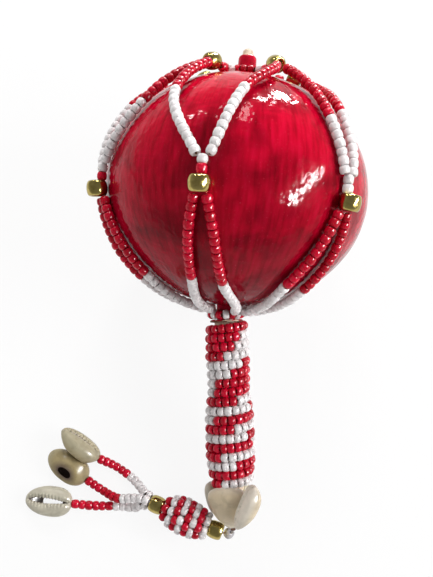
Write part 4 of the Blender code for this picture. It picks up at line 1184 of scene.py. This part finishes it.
def add_bobbin():
    """The bobbin: beads over a core, a gold bead at each end, and the thread towards the pale bead."""
    body = "tassel_bobbin"
    way = flat_way(BOBBIN_HEADING)
    matrix = Matrix.Translation(BOBBIN_PLACE) @ facing(way)
    add_beads("bobbin", bobbin_beads(matrix), body, ["bobbin_bead_sleeve"])
    half = BOBBIN_LENGTH / 2
    reach = half + GAP + TASSEL_GOLD_LENGTH
    profile = [(0, reach), (THREAD_RADIUS, reach), (THREAD_RADIUS, half)]
    for n in range(SLEEVE_RINGS * 2 + 1):
        share = 1 - n / SLEEVE_RINGS
        profile.append((max(BOBBIN_CORE_END_RADIUS, bobbin_radius(share) - 2 * BEAD_RADIUS), share * half))
    profile += [(THREAD_RADIUS, -half), (THREAD_RADIUS, -reach), (0, -reach)]
    core = turned_mesh("bobbin_stick", profile, CORE_STEPS, LOOKS["core"])
    add_piece(core, body, ["bobbin_core"], matrix)
    for word, sign in (("upper", -1), ("lower", 1)):
        place = BOBBIN_PLACE + way * sign * GOLD_FROM_BOBBIN
        node = f"tassel_gold_bead_{word}"
        add_gold_bead(f"{node}_shine", place, way, TASSEL_GOLD_RADIUS, TASSEL_GOLD_LENGTH, body, node)
    end = BOBBIN_PLACE - way * reach
    near_bead = KNOT_BEAD_PLACE + (end - KNOT_BEAD_PLACE).normalized() * KNOT_BEAD_REACH
    points = [end + way * TASSEL_GOLD_LENGTH / 2, end, near_bead]
    add_thread("bobbin_thread", points, body, (), KNOT_THREAD_RADIUS)


def tassel_routes():
    """The three tassel strings' points, from the lower gold bead to the cowries."""
    way = flat_way(BOBBIN_HEADING)
    start = BOBBIN_PLACE + way * (GOLD_FROM_BOBBIN + TASSEL_GOLD_LENGTH / 2 + GAP)
    reach = (2 * BEAD_RADIUS + GAP) / sqrt(3)
    side = flat_way(BOBBIN_HEADING - pi / 2)
    routes = []
    for turn, route in zip(STRING_TURNS, STRING_ROUTES):
        angle = radians(turn)
        first = start + side * (reach * cos(angle)) + Vector((0, 0, reach * sin(angle)))
        rest = [Vector((start.x + x * MM, start.y + y * MM, z * MM)) for x, y, z in route]
        routes.append([first, *smooth_route([first + way * BEAD_LENGTH, *rest])])
    return routes


def tassel_cowrie_place(end, lie):
    """Where a cowrie lies whose narrow end is at its string's end."""
    heading, raised, rolled = (radians(angle) for angle in lie)
    along = flat_way(heading, raised)
    side = flat_way(heading - pi / 2)
    back = side.cross(along) * cos(rolled) + side * sin(rolled)
    middle = end + along * (TASSEL_COWRIE[0] / 2 - GAP)
    return Matrix.Translation(middle) @ with_axes(along.cross(back), back, -along)


def add_tassel_strings():
    """The three tassel strings as free cords, with their beads and cowries."""
    for index, route in enumerate(tassel_routes()):
        number = index + 1
        body = f"tassel_string_{number}"
        cord = add_thread(f"tassel_thread_{number}", route, body, [body])
        colours = "W" * STRING_WHITES[index] + "R" * STRING_REDS[index]
        beads = add_beads(f"tassel_{number}", string_beads(route, colours), body)
        traits = TASSEL_SLITS[index], TASSEL_TEETH, TASSEL_SHADES[index], TASSEL_EGG, TASSEL_CUTS[index]
        mesh = cowrie_mesh(f"tassel_shell_{number}", TASSEL_SHELL, *traits)
        place = tassel_cowrie_place(route[-1], COWRIE_LIES[index])
        node = f"tassel_cowrie_{number}"
        shell = add_piece(mesh, node, [node], place)
        Line(route).length


def add_seeds():
    """The loose seeds in the gourd, a little flat, each with its scar."""
    width, length, depth = SEED_SCAR
    for number in range(1, SEEDS + 1):
        node = f"rattle_seed_{number}"
        low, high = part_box(node)
        shape = bmesh.new()
        bmesh.ops.create_icosphere(shape, subdivisions=SEED_FINENESS, radius=(high.x - low.x) / 2)
        for corner in shape.verts:
            x, y, z = corner.co
            way = corner.co.normalized()
            scar = exp(-((way.x / width) ** 2 + (way.y / length) ** 2)) if way.z > 0 else 0.0
            corner.co = Vector((x * SEED_WIDTH, y, z * SEED_HEIGHT)) * (1 - depth * scar)
        mesh = finished(shape, f"seed_{number}", LOOKS["seed"])
        spin = Matrix.Rotation(number * 1.7, 4, "Z") @ Matrix.Rotation(number * 0.9, 4, "X")
        place = Matrix.Translation((low + high) / 2) @ spin
        add_piece(mesh, node, [node], place)


# The stage


def add_camera():
    """The camera, where the photograph was taken from."""
    data = bpy.data.cameras.new("camera")
    data.sensor_width = SENSOR
    data.lens = FOCAL_PIXELS / IMAGE_HEIGHT * SENSOR
    data.clip_start = 0.01
    camera = show(data)
    forward = CAMERA_FORWARD.normalized()
    right = forward.cross(CAMERA_UP).normalized()
    up = right.cross(forward)
    camera.matrix_world = Matrix.Translation(CAMERA_PLACE) @ with_axes(right, up, -forward)
    bpy.context.scene.camera = camera


def add_lamp(name, direction, distance, size, strength, lights=True, shines=True, roll=0.0):
    """A rectangular lamp that faces the gourd. Its strength is the brightness of its face."""
    data = bpy.data.lights.new(name, "AREA")
    data.shape = "RECTANGLE"
    data.size, data.size_y = size
    data.energy = strength * pi * size[0] * size[1]
    lamp = show(data)
    way = Vector(direction).normalized()
    turn = facing(way) @ Matrix.Rotation(radians(roll), 4, "Z")
    lamp.matrix_world = Matrix.Translation(GOURD.translation + way * distance) @ turn
    lamp.visible_diffuse = lights
    lamp.visible_glossy = shines


def floor_look():
    """Nearly white as the camera and reflections see it, with a little of its own grey and shadow left."""
    look = new_look("floor", Base_Color=(0.85, 0.85, 0.85, 1.0), Roughness=0.9, Specular_IOR_Level=0.0)
    light = add_node(look, "ShaderNodeLightPath", {})
    seen = light.outputs["Is Camera Ray"]
    for name in ("Is Glossy Ray", "Is Transmission Ray"):
        seen = calculated(look, "MAXIMUM", seen, light.outputs[name])
    share = calculated(look, "MULTIPLY", seen, FLOOR_GLOW)
    white = add_node(look, "ShaderNodeEmission", {"Color": (1, 1, 1, 1), "Strength": 1.0}).outputs[0]
    mixed = add_node(look, "ShaderNodeMixShader", {0: share, 1: surface_of(look).outputs[0], 2: white})
    feed(look, look.node_tree.nodes["Material Output"].inputs["Surface"], mixed.outputs[0])
    return look


def add_floor():
    """A plain white floor that keeps a soft shadow."""
    shape = bmesh.new()
    bmesh.ops.create_circle(shape, cap_ends=True, segments=64, radius=FLOOR_RADIUS)
    floor = show(finished(shape, "floor", floor_look()))
    floor.location.z = -FLOOR_DROP


def add_world():
    """A soft, dim sky that is brighter towards the horizon, and white where it is seen itself."""
    world = bpy.data.worlds.new("sky")
    world.use_nodes = True
    bpy.context.scene.world = world
    sky = world.node_tree.nodes["Background"]
    coordinates = add_node(world, "ShaderNodeTexCoord", {}).outputs["Generated"]
    dim = ramp(world, height_in(world, coordinates), (0.0, 0.46), (0.4, 0.3), (1.0, 0.23))
    seen = add_node(world, "ShaderNodeLightPath", {}).outputs["Is Camera Ray"]
    feed(world, sky.inputs["Color"], blend_colours(world, seen, dim, (1.0, 1.0, 1.0)))
    sky.inputs["Strength"].default_value = 1.0


def add_lamps():
    """Windows to the right and beyond the gourd."""
    add_lamp("right_window", (0.808, -0.221, 0.546), 0.7, (0.46, 0.3), 9.8, shines=False)
    add_lamp("right_pane", (0.808, -0.221, 0.546), 0.7, (0.5, 0.065), 300.0, lights=False, roll=-20.0)
    add_lamp("far_window_right", (0.4, 0.89, 0.08), 0.8, (0.13, 0.12), 120.0, lights=False)
    add_lamp("far_window", (0.29, 0.91, 0.31), 0.8, (0.13, 0.05), 120.0)
    add_lamp("far_window_left", (-0.39, 0.77, 0.51), 0.8, (0.08, 0.035), 130.0)
    add_lamp("far_window_high", (0.04, 0.76, 0.65), 0.8, (0.2, 0.22), 17.0)
    add_lamp("left_wall", (-0.8, -0.3, 0.52), 1.2, (1.0, 1.0), 1.0, shines=False)


bpy.context.scene.view_settings.view_transform = "Standard"
add_camera()
add_tassel_strings()
add_gourd()
add_plug()
add_stick()
add_rings()
for place_round, meridian_name in enumerate(MERIDIANS):
    add_meridian(place_round, meridian_name)
add_winding()
add_end_cowries()
add_tail()
add_bobbin()
add_seeds()
add_floor()
add_world()
add_lamps()
